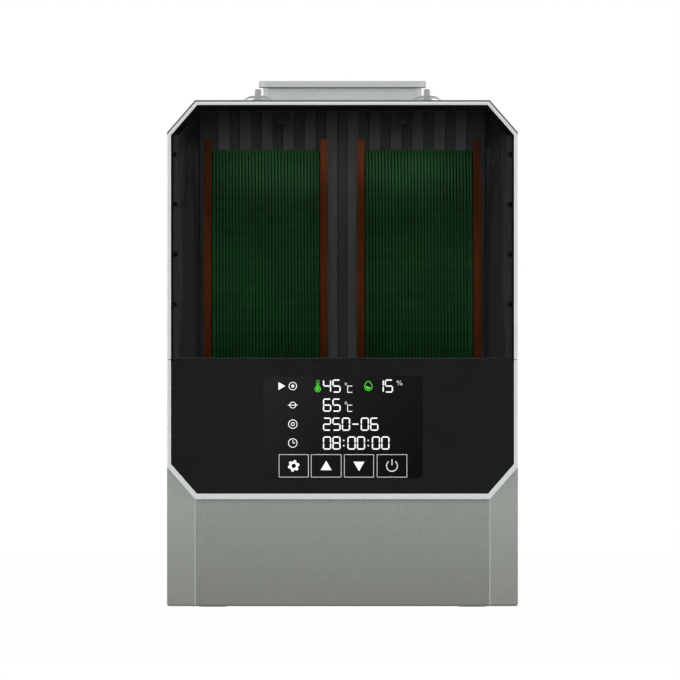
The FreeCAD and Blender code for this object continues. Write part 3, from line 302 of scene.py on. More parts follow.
def drawn_metal(name, dark, light, streak_mm):
    """Bare or plated metal with the fine drawing or rolling marks of its making."""
    material, tree, shader, place = start_material(name, Metallic=1.0)
    stretch = add(tree, "ShaderNodeMapping", {"Vector": place, "Scale": (0.05, 1.0, 1.0)})
    marks = add(tree, "ShaderNodeTexNoise",
                {"Vector": stretch.outputs["Vector"], "Scale": per_mm(streak_mm), "Detail": 3.0})
    tone = add(tree, "ShaderNodeValToRGB", {"Fac": marks.outputs["Fac"]}, [(0.3, dark), (0.7, light)])
    rough = add(tree, "ShaderNodeMapRange", {"Value": marks.outputs["Fac"], "To Min": 0.28, "To Max": 0.45})
    drive(tree, shader, Base_Color=tone.outputs["Color"], Roughness=rough.outputs["Result"])
    return material


def circuit_board():
    """Glass-fibre circuit board: green solder mask over paler copper tracks."""
    material, tree, shader, place = start_material("green_circuit_board", IOR=1.55, Roughness=0.35)
    tracks = add(tree, "ShaderNodeTexVoronoi", {"Vector": place, "Scale": per_mm(4.0)},
                 feature="DISTANCE_TO_EDGE")
    tone = add(tree, "ShaderNodeValToRGB", {"Fac": tracks.outputs["Distance"]},
               [(0.06, "#2F7A4A"), (0.12, "#14502C"), (1.0, "#124526")])
    drive(tree, shader, Base_Color=tone.outputs["Color"])
    return material


# Helpers for modelling

MERGE_GAP = 0.002 * MM      # points this close are one
SAME_PLANE = 0.5            # degrees between faces that are one
EDGE_ANGLE = 30.0           # degrees between faces that meet in a sharp edge


def pick(piece):
    """Leave only this piece selected and active."""
    bpy.ops.object.select_all(action="DESELECT")
    piece.select_set(True)
    bpy.context.view_layer.objects.active = piece
    return piece


def new_piece(name, add_primitive, **settings):
    """Add a primitive with nothing else selected, and name it."""
    bpy.ops.object.select_all(action="DESELECT")
    add_primitive(**settings)
    piece = bpy.context.active_object
    piece.name = name
    piece.data.name = name
    return piece


def settle(piece):
    """Put a piece's place, turn and size into its mesh."""
    pick(piece)
    bpy.ops.object.transform_apply(location=True, rotation=True, scale=True)
    return piece


def choose_none(piece, kind):
    """Get a piece ready for its faces or edges to be selected one by one."""
    pick(piece)
    bpy.ops.object.mode_set(mode="EDIT")
    bpy.ops.mesh.select_mode(type=kind)
    bpy.ops.mesh.select_all(action="DESELECT")
    bpy.ops.object.mode_set(mode="OBJECT")


def choose_all(piece):
    """Enter edit mode with the whole piece selected."""
    pick(piece)
    bpy.ops.object.mode_set(mode="EDIT")
    bpy.ops.mesh.select_all(action="SELECT")


def choose_faces(piece, test):
    """Enter edit mode with just the faces that pass the test selected."""
    choose_none(piece, "FACE")
    for face in piece.data.polygons:
        face.select = test(face)
    bpy.ops.object.mode_set(mode="EDIT")


def choose_edges(piece, test):
    """Enter edit mode with just the edges whose two ends pass the test selected."""
    choose_none(piece, "EDGE")
    points = piece.data.vertices
    for edge in piece.data.edges:
        edge.select = test(points[edge.vertices[0]].co, points[edge.vertices[1]].co)
    bpy.ops.object.mode_set(mode="EDIT")


def leave_edit():
    """Go back to object mode."""
    bpy.ops.object.mode_set(mode="OBJECT")


def apply_modifier(piece, kind, **settings):
    """Add a modifier with its settings and apply it."""
    pick(piece)
    modifier = piece.modifiers.new(kind.lower(), kind)
    for name, value in settings.items():
        setattr(modifier, name, value)
    bpy.ops.object.modifier_apply(modifier=modifier.name)
    return piece


def ease_edges(piece, width_mm, angle):
    """Round the sharp edges a little, as moulding, milling or paint leaves them."""
    apply_modifier(piece, "BEVEL", width=width_mm * MM, segments=2, limit_method="ANGLE",
                   angle_limit=math.radians(angle), use_clamp_overlap=True)
    pick(piece)
    bpy.ops.object.shade_smooth_by_angle(angle=math.radians(angle))
    apply_modifier(piece, "WEIGHTED_NORMAL", keep_sharp=True)
    return piece


def finish_piece(piece, body, material):
    """Give a piece its finish and let it move with its body."""
    piece.data.materials.clear()
    piece.data.materials.append(material)
    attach(piece, body)
    return piece


def joined(pieces, name):
    """All the pieces as one, under a new name."""
    bpy.ops.object.select_all(action="DESELECT")
    for piece in pieces:
        piece.select_set(True)
    bpy.context.view_layer.objects.active = pieces[0]
    bpy.ops.object.join()
    pieces[0].name = name
    pieces[0].data.name = name
    return pieces[0]


def body_of(node):
    """Name of the CAD body that a node belongs to."""
    groups = frame["record"]["behaviour"]["bodies"]
    return next(body for body, members in groups.items() if node in members)


def merged_copy(node):
    """Copy of a CAD node with its faces joined."""
    piece = bpy.data.objects.new(node + "_eased", frame["nodes"][node].data.copy())
    bpy.context.scene.collection.objects.link(piece)
    choose_all(piece)
    bpy.ops.mesh.remove_doubles(threshold=MERGE_GAP)
    bpy.ops.mesh.dissolve_limited(angle_limit=math.radians(SAME_PLANE))
    leave_edit()
    return piece


def stand_for(piece, node, width_mm, material, angle=EDGE_ANGLE):
    """Ease a copy's edges, finish it, and let it stand for its CAD node."""
    ease_edges(piece, width_mm, angle)
    finish_piece(piece, body_of(node), material)
    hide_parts(node)


def second_finish(piece, material, test):
    """Give the faces that pass the test another finish, as an inner lining or a print has."""
    piece.data.materials.append(material)
    choose_faces(piece, test)
    piece.active_material_index = len(piece.data.materials) - 1
    bpy.ops.object.material_slot_assign()
    leave_edit()


def dress(node, material):
    """Give a CAD node its finish."""
    mesh = frame["nodes"][node].data
    mesh.materials.clear()
    mesh.materials.append(material)


# The display: what is lit on its glass, in millimetres across the middle and above the ground

GLYPH_DEEP = 0.10 * MM      # how far the lit shapes stand in front of the glass
DIGIT_WIDE, DIGIT_HIGH = 5.0, 8.0
DIGIT_STEP = 5.7
COLON_STEP = 3.35
COLON_IN = 1.2
COLON_RISES = (0.3, 0.7)    # shares of a figure's height
BAR_WIDE = 0.78
BAR_GAP = 0.2
NIB = 0.38                  # how much of a bar's width its pointed ends take
FINE_LINE = 0.21            # stroke of the keys and the smallest marks
LINE = 0.42                 # stroke of the small pictures
DISC_SIDES, SMALL_SIDES = 32, 20

ROWS = (129.5, 118.0, 106.5, 95.1)              # foot of each row of figures
ROW_MIDDLE = 4.0
READINGS = ("45", "65", "250-06", "08:00:00")
READINGS_LEFT = -11.8
DEGREE_X = 2.1
POINTER_X, POINTER_RADIUS = -37.3, 2.75
HUMIDITY = (("1", 20.0), ("5", 25.5))           # figures and their left sides
PERCENT_X, PERCENT_RISE = 34.4, 5.9
THERMOMETER_X, THERMOMETER_FOOT, THERMOMETER_TOP = -14.95, 0.3, 7.6
DROP_X, DROP_RISE, DROP_RADIUS, DROP_POINT = 15.6, 3.6, 2.5, 1.1

ICON_X = -30.0
NOW_RING, NOW_DOT = 2.5, 0.9
AIM_RING, AIM_BAR = 2.0, 6.0
REEL_RING, REEL_BORE, BORE_SIDES = 2.8, 1.2, 24
CLOCK_RING, LONG_HAND, SHORT_HAND = 2.8, 1.8, 1.4

KEYS = ((-38.4, -20.5), (-19.0, -0.7), (1.0, 18.9), (20.8, 39.0))      # left and right side of each
KEY_LOW, KEY_HIGH = 78.4, 92.2
ARROW_RADIUS, UP_SINK, DOWN_RISE = 3.8, 0.7, 0.6

# Which bars are lit: top, upper left, upper right, middle, lower left, lower right, bottom
LIT_BARS = {"0": "1110111", "1": "0010010", "2": "1011101", "4": "0111010", "5": "1101011",
            "6": "1101111", "8": "1111111", "-": "0001000"}


def glyph_place(x_mm, z_mm):
    """Point in the thin layer on the glass."""
    return Vector((x_mm * MM, glass_y - GLYPH_DEEP / 2, z_mm * MM))


def flat_bar(name, x_mm, z_mm, wide, high, nib=False):
    """Thin bar on the glass, whose corners may be cut so that its ends come to a point."""
    piece = new_piece(name, bpy.ops.mesh.primitive_cube_add, size=1.0, location=glyph_place(x_mm, z_mm),
                      scale=(wide * MM, GLYPH_DEEP, high * MM))
    settle(piece)
    if nib:
        choose_edges(piece, lambda a, b: abs(a.y - b.y) > GLYPH_DEEP / 2)
        bpy.ops.mesh.bevel(offset=min(wide, high) * NIB * MM, segments=1)
        leave_edit()
    return piece


def digit(text, left, bottom):
    """One seven-bar figure with its lower left corner at the place given."""
    middle_x, middle_z = left + DIGIT_WIDE / 2, bottom + DIGIT_HIGH / 2
    side_x = DIGIT_WIDE / 2 - BAR_WIDE / 2
    rise = DIGIT_HIGH / 2 - BAR_WIDE / 2
    across = DIGIT_WIDE - BAR_WIDE - 2 * BAR_GAP
    up = DIGIT_HIGH / 2 - BAR_WIDE / 2 - 2 * BAR_GAP
    bars = [(0, rise, True), (-side_x, rise / 2, False), (side_x, rise / 2, False), (0, 0, True),
            (-side_x, -rise / 2, False), (side_x, -rise / 2, False), (0, -rise, True)]
    made = []
    for lit, (dx, dz, level) in zip(LIT_BARS[text], bars):
        if lit == "1":
            wide, high = (across, BAR_WIDE) if level else (BAR_WIDE, up)
            made.append(flat_bar("bar", middle_x + dx, middle_z + dz, wide, high, nib=True))
    return made


def figures(text, left, bottom):
    """A row of figures; a colon is two dots."""
    made = []
    for sign in text:
        if sign == ":":
            made += [flat_bar("dot", left + COLON_IN, bottom + DIGIT_HIGH * share, BAR_WIDE, BAR_WIDE)
                     for share in COLON_RISES]
            left += COLON_STEP
        else:
            made += digit(sign, left, bottom)
            left += DIGIT_STEP
    return made


def flat_disc(name, x_mm, z_mm, radius, sides=DISC_SIDES, turn=0.0):
    """Thin disc or many-sided plate on the glass, seen face on."""
    piece = new_piece(name, bpy.ops.mesh.primitive_cylinder_add, vertices=sides, radius=radius * MM,
                      depth=GLYPH_DEEP, location=glyph_place(x_mm, z_mm), rotation=(math.pi / 2, turn, 0.0))
    return settle(piece)


def open_middle(piece, rim_mm):
    """Leave only a rim of a plate: inset its two faces and bridge them."""
    choose_faces(piece, lambda face: abs(face.normal.y) > FLAT)
    bpy.ops.mesh.inset(thickness=rim_mm * MM)
    bpy.ops.mesh.bridge_edge_loops()
    leave_edit()
    return piece


def ring(name, x_mm, z_mm, radius, rim_mm=LINE, sides=DISC_SIDES):
    """Thin ring on the glass."""
    return open_middle(flat_disc(name, x_mm, z_mm, radius, sides), rim_mm)


def key_outline(left, right):
    """Outline of a touch key."""
    high = KEY_HIGH - KEY_LOW
    plate = flat_bar("key", (left + right) / 2, KEY_LOW + high / 2, right - left, high)
    return open_middle(plate, FINE_LINE)


def gear_icon(x_mm, z_mm):
    """Toothed wheel: two of every four sides of a ring drawn out as a tooth."""
    sides, radius, tooth, rim_wide = 24, 2.7, 0.8, 1.3
    piece = flat_disc("gear", x_mm, z_mm, radius, sides)
    centre = glyph_place(x_mm, z_mm)

    def is_tooth(face):
        reach = face.center - centre
        step = round(math.degrees(math.atan2(reach.z, reach.x)) * sides / 360 - 0.5)
        return abs(face.normal.y) < 1 - FORWARD and step % 4 < 2

    choose_faces(piece, is_tooth)
    bpy.ops.mesh.extrude_region_shrink_fatten(TRANSFORM_OT_shrink_fatten={"value": tooth * MM})
    leave_edit()
    return open_middle(piece, rim_wide)


def triangle_icon(x_mm, z_mm, radius, turn):
    """Solid triangle, which points up when it isn't turned."""
    return flat_disc("triangle", x_mm, z_mm, radius, 3, turn)


def drop_icon(x_mm, z_mm, radius, point_mm):
    """Water drop: a disc whose top is drawn up to a point, open inside, with water in its lower part."""
    top_share, pull_share, water_share = 0.999, 1.2, 0.62
    water_slope = (0.35, 0.0, 1.0)
    drop = flat_disc("drop", x_mm, z_mm, radius)
    top = (z_mm + radius * top_share) * MM
    choose_edges(drop, lambda a, b: min(a.z, b.z) > top)
    bpy.ops.transform.translate(value=(0.0, 0.0, point_mm * MM), use_proportional_edit=True,
                                proportional_edit_falloff="LINEAR",
                                proportional_size=pull_share * radius * MM)
    leave_edit()
    water = flat_disc("water", x_mm, z_mm, radius * water_share)
    choose_all(water)
    bpy.ops.mesh.bisect(plane_co=glyph_place(x_mm, z_mm), plane_no=water_slope, clear_outer=True,
                        use_fill=True)
    leave_edit()
    return [open_middle(drop, LINE), water]


def thermometer_icon(x_mm, low, high):
    """Bulb and tube in outline with the liquid standing in them."""
    bulb, tube, liquid, filled = 1.9, 1.8, 0.5, 0.7
    bulb_z = low + bulb
    glass = flat_bar("tube", x_mm, (bulb_z + high) / 2, tube, high - bulb_z, nib=True)
    column = (high - bulb_z) * filled
    return [ring("bulb", x_mm, bulb_z, bulb), open_middle(glass, FINE_LINE),
            flat_disc("well", x_mm, bulb_z, bulb / 2, SMALL_SIDES),
            flat_bar("liquid", x_mm, bulb_z + column / 2, liquid, column)]


def power_icon(x_mm, z_mm):
    """Open ring with a stroke through its gap."""
    sides, radius, gap_from, stroke = 40, 3.5, 2.7, 3.6
    loop = ring("power", x_mm, z_mm, radius, LINE, sides)
    choose_faces(loop, lambda face: face.center.z > (z_mm + gap_from) * MM)
    bpy.ops.mesh.delete(type="FACE")
    leave_edit()
    return [loop, flat_bar("stroke", x_mm, z_mm + radius + LINE - stroke / 2, LINE, stroke)]


def degree_mark(left, bottom):
    """Small ring and an open letter shape for degrees Celsius."""
    wide, high, indent = 2.8, 4.0, 0.8
    ring_rise, ring_radius = 5.2, 0.75
    side = left + indent + FINE_LINE
    level = [flat_bar("bar", side + wide / 2, bottom + rise, wide, LINE) for rise in (FINE_LINE, high)]
    upright = flat_bar("bar", side, bottom + (FINE_LINE + high) / 2, LINE, high)
    return level + [ring("degree", left, bottom + ring_rise, ring_radius, FINE_LINE, SMALL_SIDES), upright]


def percent_mark(x_mm, z_mm):
    """Two small rings and a slanted stroke."""
    apart, up, radius, stroke_high, slant = 1.05, 0.75, 0.65, 3.2, -32
    stroke = flat_bar("bar", x_mm, z_mm, FINE_LINE, stroke_high)
    choose_all(stroke)
    bpy.ops.transform.rotate(value=math.radians(slant), orient_axis="Y",
                             center_override=glyph_place(x_mm, z_mm))
    leave_edit()
    return [stroke] + [ring("dot", x_mm + side * apart, z_mm - side * up, radius, FINE_LINE, SMALL_SIDES)
                       for side in (-1, 1)]


def show_display():
    """Everything lit on the display: readings, marks, small pictures and the four touch keys."""
    top_row = ROWS[0]
    white = []
    for text, bottom in zip(READINGS, ROWS):
        white += figures(text, READINGS_LEFT, bottom)
    for bottom in ROWS[:2]:
        white += degree_mark(DEGREE_X, bottom)
    for text, left in HUMIDITY:
        white += digit(text, left, top_row)
    white += percent_mark(PERCENT_X, top_row + PERCENT_RISE)
    white.append(triangle_icon(POINTER_X, top_row + ROW_MIDDLE, POINTER_RADIUS, math.pi / 2))

    # Small pictures that say what each row is: now, wanted, spool and clock
    now, wanted, spool, clock = [bottom + ROW_MIDDLE for bottom in ROWS]
    white += [ring("now", ICON_X, now, NOW_RING), flat_disc("now_dot", ICON_X, now, NOW_DOT, SMALL_SIDES)]
    white += [ring("aim", ICON_X, wanted, AIM_RING), flat_bar("aim_bar", ICON_X, wanted, AIM_BAR, LINE)]
    white += [ring("reel", ICON_X, spool, REEL_RING),
              ring("reel_bore", ICON_X, spool, REEL_BORE, LINE, BORE_SIDES)]
    white += [ring("clock", ICON_X, clock, CLOCK_RING),
              flat_bar("hand", ICON_X, clock + LONG_HAND / 2, LINE, LONG_HAND),
              flat_bar("hand", ICON_X + SHORT_HAND / 2, clock, SHORT_HAND, LINE)]

    white += [key_outline(left, right) for left, right in KEYS]
    key_x = [(left + right) / 2 for left, right in KEYS]
    key_z = (KEY_LOW + KEY_HIGH) / 2
    white += [gear_icon(key_x[0], key_z), triangle_icon(key_x[1], key_z - UP_SINK, ARROW_RADIUS, 0.0),
              triangle_icon(key_x[2], key_z + DOWN_RISE, ARROW_RADIUS, math.pi)]
    white += power_icon(key_x[3], key_z)
    finish_piece(joined(white, "display_readings"), "base", segment_white)

    green = thermometer_icon(THERMOMETER_X, top_row + THERMOMETER_FOOT, top_row + THERMOMETER_TOP)
    green += drop_icon(DROP_X, top_row + DROP_RISE, DROP_RADIUS, DROP_POINT)
    finish_piece(joined(green, "display_symbols"), "base", segment_green)


# Filament on the spools: one strand wound in a screw, turn beside turn

TURNS = 32
STRAND_RADIUS = 0.92 * MM
STEPS_PER_TURN = 72
STRAND_SIDES = 10


def end_turn(place, coil_radius):
    """Last turn of a layer, which lies flat against its flange."""
    piece = new_piece("end_turn", bpy.ops.mesh.primitive_torus_add, location=place,
                      rotation=(0.0, math.pi / 2, 0.0), major_radius=coil_radius, minor_radius=STRAND_RADIUS,
                      major_segments=STEPS_PER_TURN, minor_segments=STRAND_SIDES)
    return settle(piece)


def wind(side):
    """Outer layer of one spool, as a round section screwed along the spool's axle."""
    node = side + "_filament_turns"
    low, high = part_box(node)
    axle = (low + high) / 2
    coil_radius = (high[2] - low[2]) / 2 - STRAND_RADIUS
    room = high[0] - low[0] - 2 * STRAND_RADIUS
    pitch = room / TURNS
    piece = new_piece(node + "_wound", bpy.ops.mesh.primitive_circle_add, vertices=STRAND_SIDES,
                      radius=STRAND_RADIUS, fill_type="NOTHING", location=(-room / 2, 0.0, coil_radius),
                      rotation=(math.pi / 2, 0.0, 0.0))
    settle(piece)
    apply_modifier(piece, "SCREW", axis="X", angle=2 * math.pi, screw_offset=pitch, iterations=TURNS,
                   steps=STEPS_PER_TURN, render_steps=STEPS_PER_TURN, use_merge_vertices=False)
    pick(piece)
    bpy.ops.object.mode_set(mode="EDIT")
    bpy.ops.mesh.select_all(action="DESELECT")
    bpy.ops.mesh.select_mode(type="EDGE")
    bpy.ops.mesh.select_non_manifold()
    bpy.ops.mesh.edge_face_add()
    bpy.ops.mesh.select_all(action="SELECT")
    bpy.ops.mesh.normals_make_consistent(inside=False)
    bpy.ops.transform.translate(value=axle)
    leave_edit()
    ends = [end_turn(axle + Vector((x, 0.0, 0.0)), coil_radius) for x in (-room / 2, room / 2)]
    joined([piece, *ends], node + "_wound")
    pick(piece)
    bpy.ops.object.shade_smooth()
    finish_piece(piece, side + "_spool", filament_green)
    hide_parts(node)


# Finishes

coat = textured_grey_abs()
rim_silver = brushed_anodised_aluminium()
painted_edge_highlight = moulded_abs("housing_edge_pale_abs", "#B4B8B4", "#BCC0BC")
vent_grey = moulded_abs("vent_pale_grey_abs", "#C8CBCB", "#D4D7D7")
panel_black = gloss_black_acrylic()
window_smoke = smoked_polycarbonate()
lens_glass = display_glass()
segment_white = lit_segment("lit_segment_white", "#F4F6F5", "#E4E8E7", 0.55)
segment_green = lit_segment("lit_segment_green", "#4FD22F", "#43BE29", 0.55)
inner_black = moulded_abs("inner_black_abs", "#141414", "#1B1B1B")
skirt_black = moulded_abs("skirt_black_abs", "#141414", "#1B1B1B", 0.25)
printed_black = printed_ink()
clip_black = moulded_abs("clip_black_acetal", "#080808", "#0C0C0C", 0.05)
lip_charcoal = moulded_abs("lip_charcoal_abs", "#252628", "#2D2E30")
liner_grey = moulded_abs("liner_grey_abs", "#4C4E50", "#565859")
groove_painted_shade = moulded_abs("rear_groove_grey_abs", "#8A8C8E", "#949698")
rear_grey = moulded_abs("rear_panel_grey_abs", "#BCBEC0", "#C6C8CA")
board_kraft = pressed_board()
filament_green = green_filament()
rubber_black = soft_rubber("black_epdm", "#0C0C0C", "#151515", 0.75)
rubber_pale = soft_rubber("pale_grey_silicone", "#A6AAAA", "#B4B8B8", 0.45)
steel_bright = drawn_metal("zinc_plated_steel", "#A9ABAD", "#C3C5C7", 0.5)
steel_dark = drawn_metal("blackened_steel", "#4A4B4D", "#5C5E60", 0.5)
heater_alloy = drawn_metal("extruded_heater_alloy", "#8F9194", "#B2B4B6", 0.6)
roller_nylon = moulded_abs("roller_grey_nylon", "#8B8E90", "#9A9D9F")
mask_green = circuit_board()

# CAD nodes that keep their own mesh
NODE_FINISH = {
    "bottom_plate": inner_black, "rubber_feet": rubber_black, "bottom_screws": steel_bright,
    "display_lens": lens_glass, "display_module": inner_black, "control_board": mask_green,
    "roller_bearings": steel_bright, "air_duct": inner_black, "heater_core": heater_alloy,
    "fan_frame": inner_black, "fan_screws": steel_bright, "power_board": mask_green,
    "inlet_pins": steel_bright, "humidity_sensor": inner_black, "base_seal": rubber_black,
    "hinge_pins": steel_bright, "hinge_base_screws": steel_bright, "hinge_lid_screws": steel_bright,
    "window_clips": clip_black, "left_side_liner": liner_grey, "right_side_liner": liner_grey,
    "outlet_grommets": rubber_black, "fan_rotor": inner_black,
}
# CAD nodes that a copy with eased edges stands for, with the width of the easing in millimetres
EASED = [
    ("lid_shell", 0.5, coat), ("rear_liner", 0.3, rear_grey), ("lower_front_frame", 0.35, rim_silver),
    ("upper_front_frame", 0.35, rim_silver), ("control_panel", 0.25, panel_black),
    ("window", 0.25, window_smoke), ("vent_collar", 0.4, vent_grey), ("vent_cap", 0.3, vent_grey),
    ("power_inlet", 0.3, inner_black),
    ("chamber_tray", 0.4, inner_black), ("left_roller_cradle", 0.4, inner_black),
    ("right_roller_cradle", 0.4, inner_black), ("hinge_base_leaves", 0.2, steel_dark),
    ("hinge_lid_leaves", 0.2, steel_dark), ("left_outlet_plug", 0.15, rubber_pale),
    ("right_outlet_plug", 0.15, rubber_pale),
]
for side in ("left", "right"):
    NODE_FINISH[side + "_spool_core"] = board_kraft
    NODE_FINISH[side + "_filament_core"] = filament_green
    NODE_FINISH[side + "_filament_turns"] = filament_green
    EASED.append((side + "_spool_flanges", 0.5, board_kraft))
    for end in ("front", "rear"):
        NODE_FINISH[side + "_" + end + "_shaft"] = steel_bright
        NODE_FINISH[side + "_" + end + "_rollers"] = roller_nylon

for node, material in NODE_FINISH.items():
    dress(node, material)
for node, width, material in EASED:
    stand_for(merged_copy(node), node, width, material)


# The housing's bevelled corners meet its front in an edge with a painted highlight

EDGE_WIDE = 0.3 * MM        # how far the painted highlight along the edge reaches to each side
CORNER_DEEP = 6.5 * MM      # how far back from the front the bevelled corners have their middle
FACET = 0.5                 # how much of a bevelled corner's normal looks forward
HOUSING_EASE = 0.6          # millimetres of easing
HOUSING_ANGLE = 20.0        # degrees: its bevels are blunter edges than the other pieces have


def is_facet(face):
    """True for the front of the housing and its bevelled corners."""
    return face.normal.y < -FACET and face.center.y < housing_front + CORNER_DEEP


housing = merged_copy("base_housing")
housing_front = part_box("base_housing")[0][1]
facet_x = max(point.co.x for point in housing.data.vertices if point.co.y < housing_front + BESIDE)
for x in (-facet_x - EDGE_WIDE, -facet_x + EDGE_WIDE, facet_x - EDGE_WIDE, facet_x + EDGE_WIDE):
    choose_faces(housing, is_facet)
    bpy.ops.mesh.bisect(plane_co=(x, 0.0, 0.0), plane_no=(1.0, 0.0, 0.0))
    leave_edit()
stand_for(housing, "base_housing", HOUSING_EASE, coat, HOUSING_ANGLE)
# painted highlight: a thin pale strip along each edge between the housing's front and its bevelled corners
second_finish(housing, painted_edge_highlight, lambda face: face.normal.y < -FACET
              and face.center.y < housing_front + BESIDE and abs(abs(face.center.x) - facet_x) < EDGE_WIDE)


# The lid is dark inside, and painted shade darkens it along its front edge

INSIDE = 1.0 * MM           # how far another corner stands in front of a face that is inside
LIP_SHADE = 21.0 * MM       # how far down the black part of the lip behind the window reaches

lid = bpy.data.objects["lid_shell_eased"]
corners = [point.co.copy() for point in lid.data.vertices]


def is_inside(face):
    """True for a face that others stand in front of."""
    return max(face.normal.dot(corner - face.center) for corner in corners) > INSIDE


def is_forward(face):
    """True for a face that looks forward."""
    return face.normal.y < -FORWARD


# painted shade: the shell's forward faces outside its frame, a narrow strip along its front edge, take the
# dark liner grey, which its inside has as a lining
second_finish(lid, liner_grey, lambda face: is_inside(face) or is_forward(face))

# Within the outline of its frame its lip is darker, and black at the top
frame_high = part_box("upper_front_frame")[1]
outline = [point.co for point in frame["nodes"]["upper_front_frame"].data.vertices]
bevel_x = max(point.x for point in outline if point.z > frame_high[2] - NEAR)
bevel_z = max(point.z for point in outline if point.x > frame_high[0] - NEAR)
upward = Vector((0.0, 0.0, 1.0))
planes = [(Vector((0.0, 0.0, frame_high[2])), upward)]
for side in (-1, 1):
    slant = Vector((side * (frame_high[2] - bevel_z), 0.0, frame_high[0] - bevel_x)).normalized()
    planes.append((Vector((side * bevel_x, 0.0, frame_high[2])), slant))
shade_z = lid_high[2] - LIP_SHADE
for place, normal in planes + [(Vector((0.0, 0.0, shade_z)), upward)]:
    choose_faces(lid, is_forward)
    bpy.ops.mesh.bisect(plane_co=place, plane_no=normal)
    leave_edit()


def is_lip(face):
    """True for the part of the lid's forward faces that lies behind its frame and window."""
    return is_forward(face) and all(normal.dot(face.center - place) < 0.0 for place, normal in planes)


second_finish(lid, lip_charcoal, is_lip)
second_finish(lid, clip_black, lambda face: is_lip(face) and face.center.z > shade_z)

# The skirt and the legs under the vent's cap are black
collar_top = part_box("vent_collar")[1][2]
second_finish(bpy.data.objects["vent_cap_eased"], skirt_black, lambda face: face.center.z < collar_top)


# The rear panel reaches a little way behind the side liners, and its grooves, which lie deeper than its ribs,
# are darkened with painted shade

LINER_LAP = 1.2 * MM        # how far the rear panel is drawn out behind each side liner
GROOVE_FROM = 2.0 * MM      # how far behind the ribs counts as a groove

rear = bpy.data.objects["rear_liner_eased"]
rear_low, rear_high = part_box("rear_liner")
for outward, end in ((-1, rear_low[0]), (1, rear_high[0])):
    choose_faces(rear, lambda face: abs(face.center.x - end) < BESIDE)
    bpy.ops.transform.translate(value=(outward * LINER_LAP, 0.0, 0.0))
    leave_edit()
# painted shade: the forward faces at the back of the grooves take a darker grey than the ribs
second_finish(rear, groove_painted_shade, lambda face: is_forward(face) and face.center.y > rear_low[1] + GROOVE_FROM)


# A black border is printed round the window but for its foot, and the window stands clear of the lip

PANE_CLEAR = 0.3 * MM       # room between the window and the lip
PANE_BORDER = 0.9 * MM      # width of the border
PANE_AREA = 0.01            # square metres: the clear part is larger, and each side's border smaller

pane = bpy.data.objects["window_eased"]
choose_faces(pane, lambda face: face.normal.y > FORWARD)
bpy.ops.transform.translate(value=(0.0, -PANE_CLEAR, 0.0))
leave_edit()
choose_faces(pane, lambda face: face.normal.y < -FLAT)
bpy.ops.mesh.inset(thickness=PANE_BORDER)
leave_edit()
second_finish(pane, printed_black, lambda face: face.normal.y < -FLAT and face.area < PANE_AREA
              and face.center.z > lid_low[2] + 2 * PANE_BORDER)


# The uppermost clips of the window, one step above the CAD node's

CLIP_STEP = 30.2 * MM       # from one clip to the next
CLIP_TALL = 5.0 * MM        # more than a clip's height and less than a step

clips = merged_copy("window_clips")
clips.name = "upper_window_clips"
clips_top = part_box("window_clips")[1][2]
choose_faces(clips, lambda face: face.center.z < clips_top - CLIP_TALL)
bpy.ops.mesh.delete(type="FACE")
leave_edit()
choose_all(clips)
bpy.ops.transform.translate(value=(0.0, -PANE_CLEAR / 2, CLIP_STEP))
leave_edit()
finish_piece(clips, "lid", clip_black)

wind("left")
wind("right")
show_display()


# Floor and room

FLOOR_SIZE = 8.0            # metres
FLOOR_GLOW = 0.985          # how much of the floor's look is plain white
WORLD_LEVEL = 0.17          # light of the room on the object


def studio_paper():
    """Pale studio paper that looks white to the camera and still shows a soft shadow."""
    material, tree, shader, place = start_material("studio_paper", Roughness=0.9)
    fibre = add(tree, "ShaderNodeTexNoise", {"Vector": place, "Scale": per_mm(40), "Detail": 3.0})
    tone = add(tree, "ShaderNodeValToRGB", {"Fac": fibre.outputs["Fac"]},
               [(0.3, "#B8B8B8"), (0.7, "#C0C0C0")])
    drive(tree, shader, Base_Color=tone.outputs["Color"])
    share = add(tree, "ShaderNodeMath", {0: seen_share(tree), 1: FLOOR_GLOW}, operation="MULTIPLY")
    glow = add(tree, "ShaderNodeEmission", {"Color": colour("#FFFFFF"), "Strength": 1.0})
    mixed = add(tree, "ShaderNodeMixShader", {"Fac": share.outputs["Value"], 1: shader.outputs["BSDF"],
                                              2: glow.outputs["Emission"]})
    output = next(item for item in tree.nodes if item.type == "OUTPUT_MATERIAL")
    tree.links.new(mixed.outputs["Shader"], output.inputs["Surface"])
    return material


floor = new_piece("studio_floor", bpy.ops.mesh.primitive_plane_add, size=FLOOR_SIZE, location=(0.0, 0.0, 0.0))
floor.data.materials.append(studio_paper())

world = bpy.data.worlds.new("studio_world")
bpy.context.scene.world = world
world.use_nodes = True
sky = world.node_tree
sky.nodes.clear()
level = add(sky, "ShaderNodeMapRange", {"Value": seen_share(sky), "To Min": WORLD_LEVEL, "To Max": 1.0})
ground = add(sky, "ShaderNodeBackground", {"Color": colour("#FFFFFF"), "Strength": level.outputs["Result"]})
add(sky, "ShaderNodeOutputWorld", {"Surface": ground.outputs["Background"]})


# Lamps, in metres and watts: soft boxes in front, above the front and at both sides

LAMP_AIM = Vector((0.0, 0.0, 0.16))
FRONT_PLACE, FRONT_SIZE, FRONT_POWER = (0.0, -4.0, 0.55), 0.5, 28.0
KEY_PLACE, KEY_SIZE, KEY_POWER = (0.0, -1.3, 1.65), 1.2, 8.5
LEFT_PLACE, RIGHT_PLACE, SIDE_SIZE, SIDE_POWER = (-1.5, -0.45, 0.55), (1.5, -0.45, 0.55), 0.9, 11.0

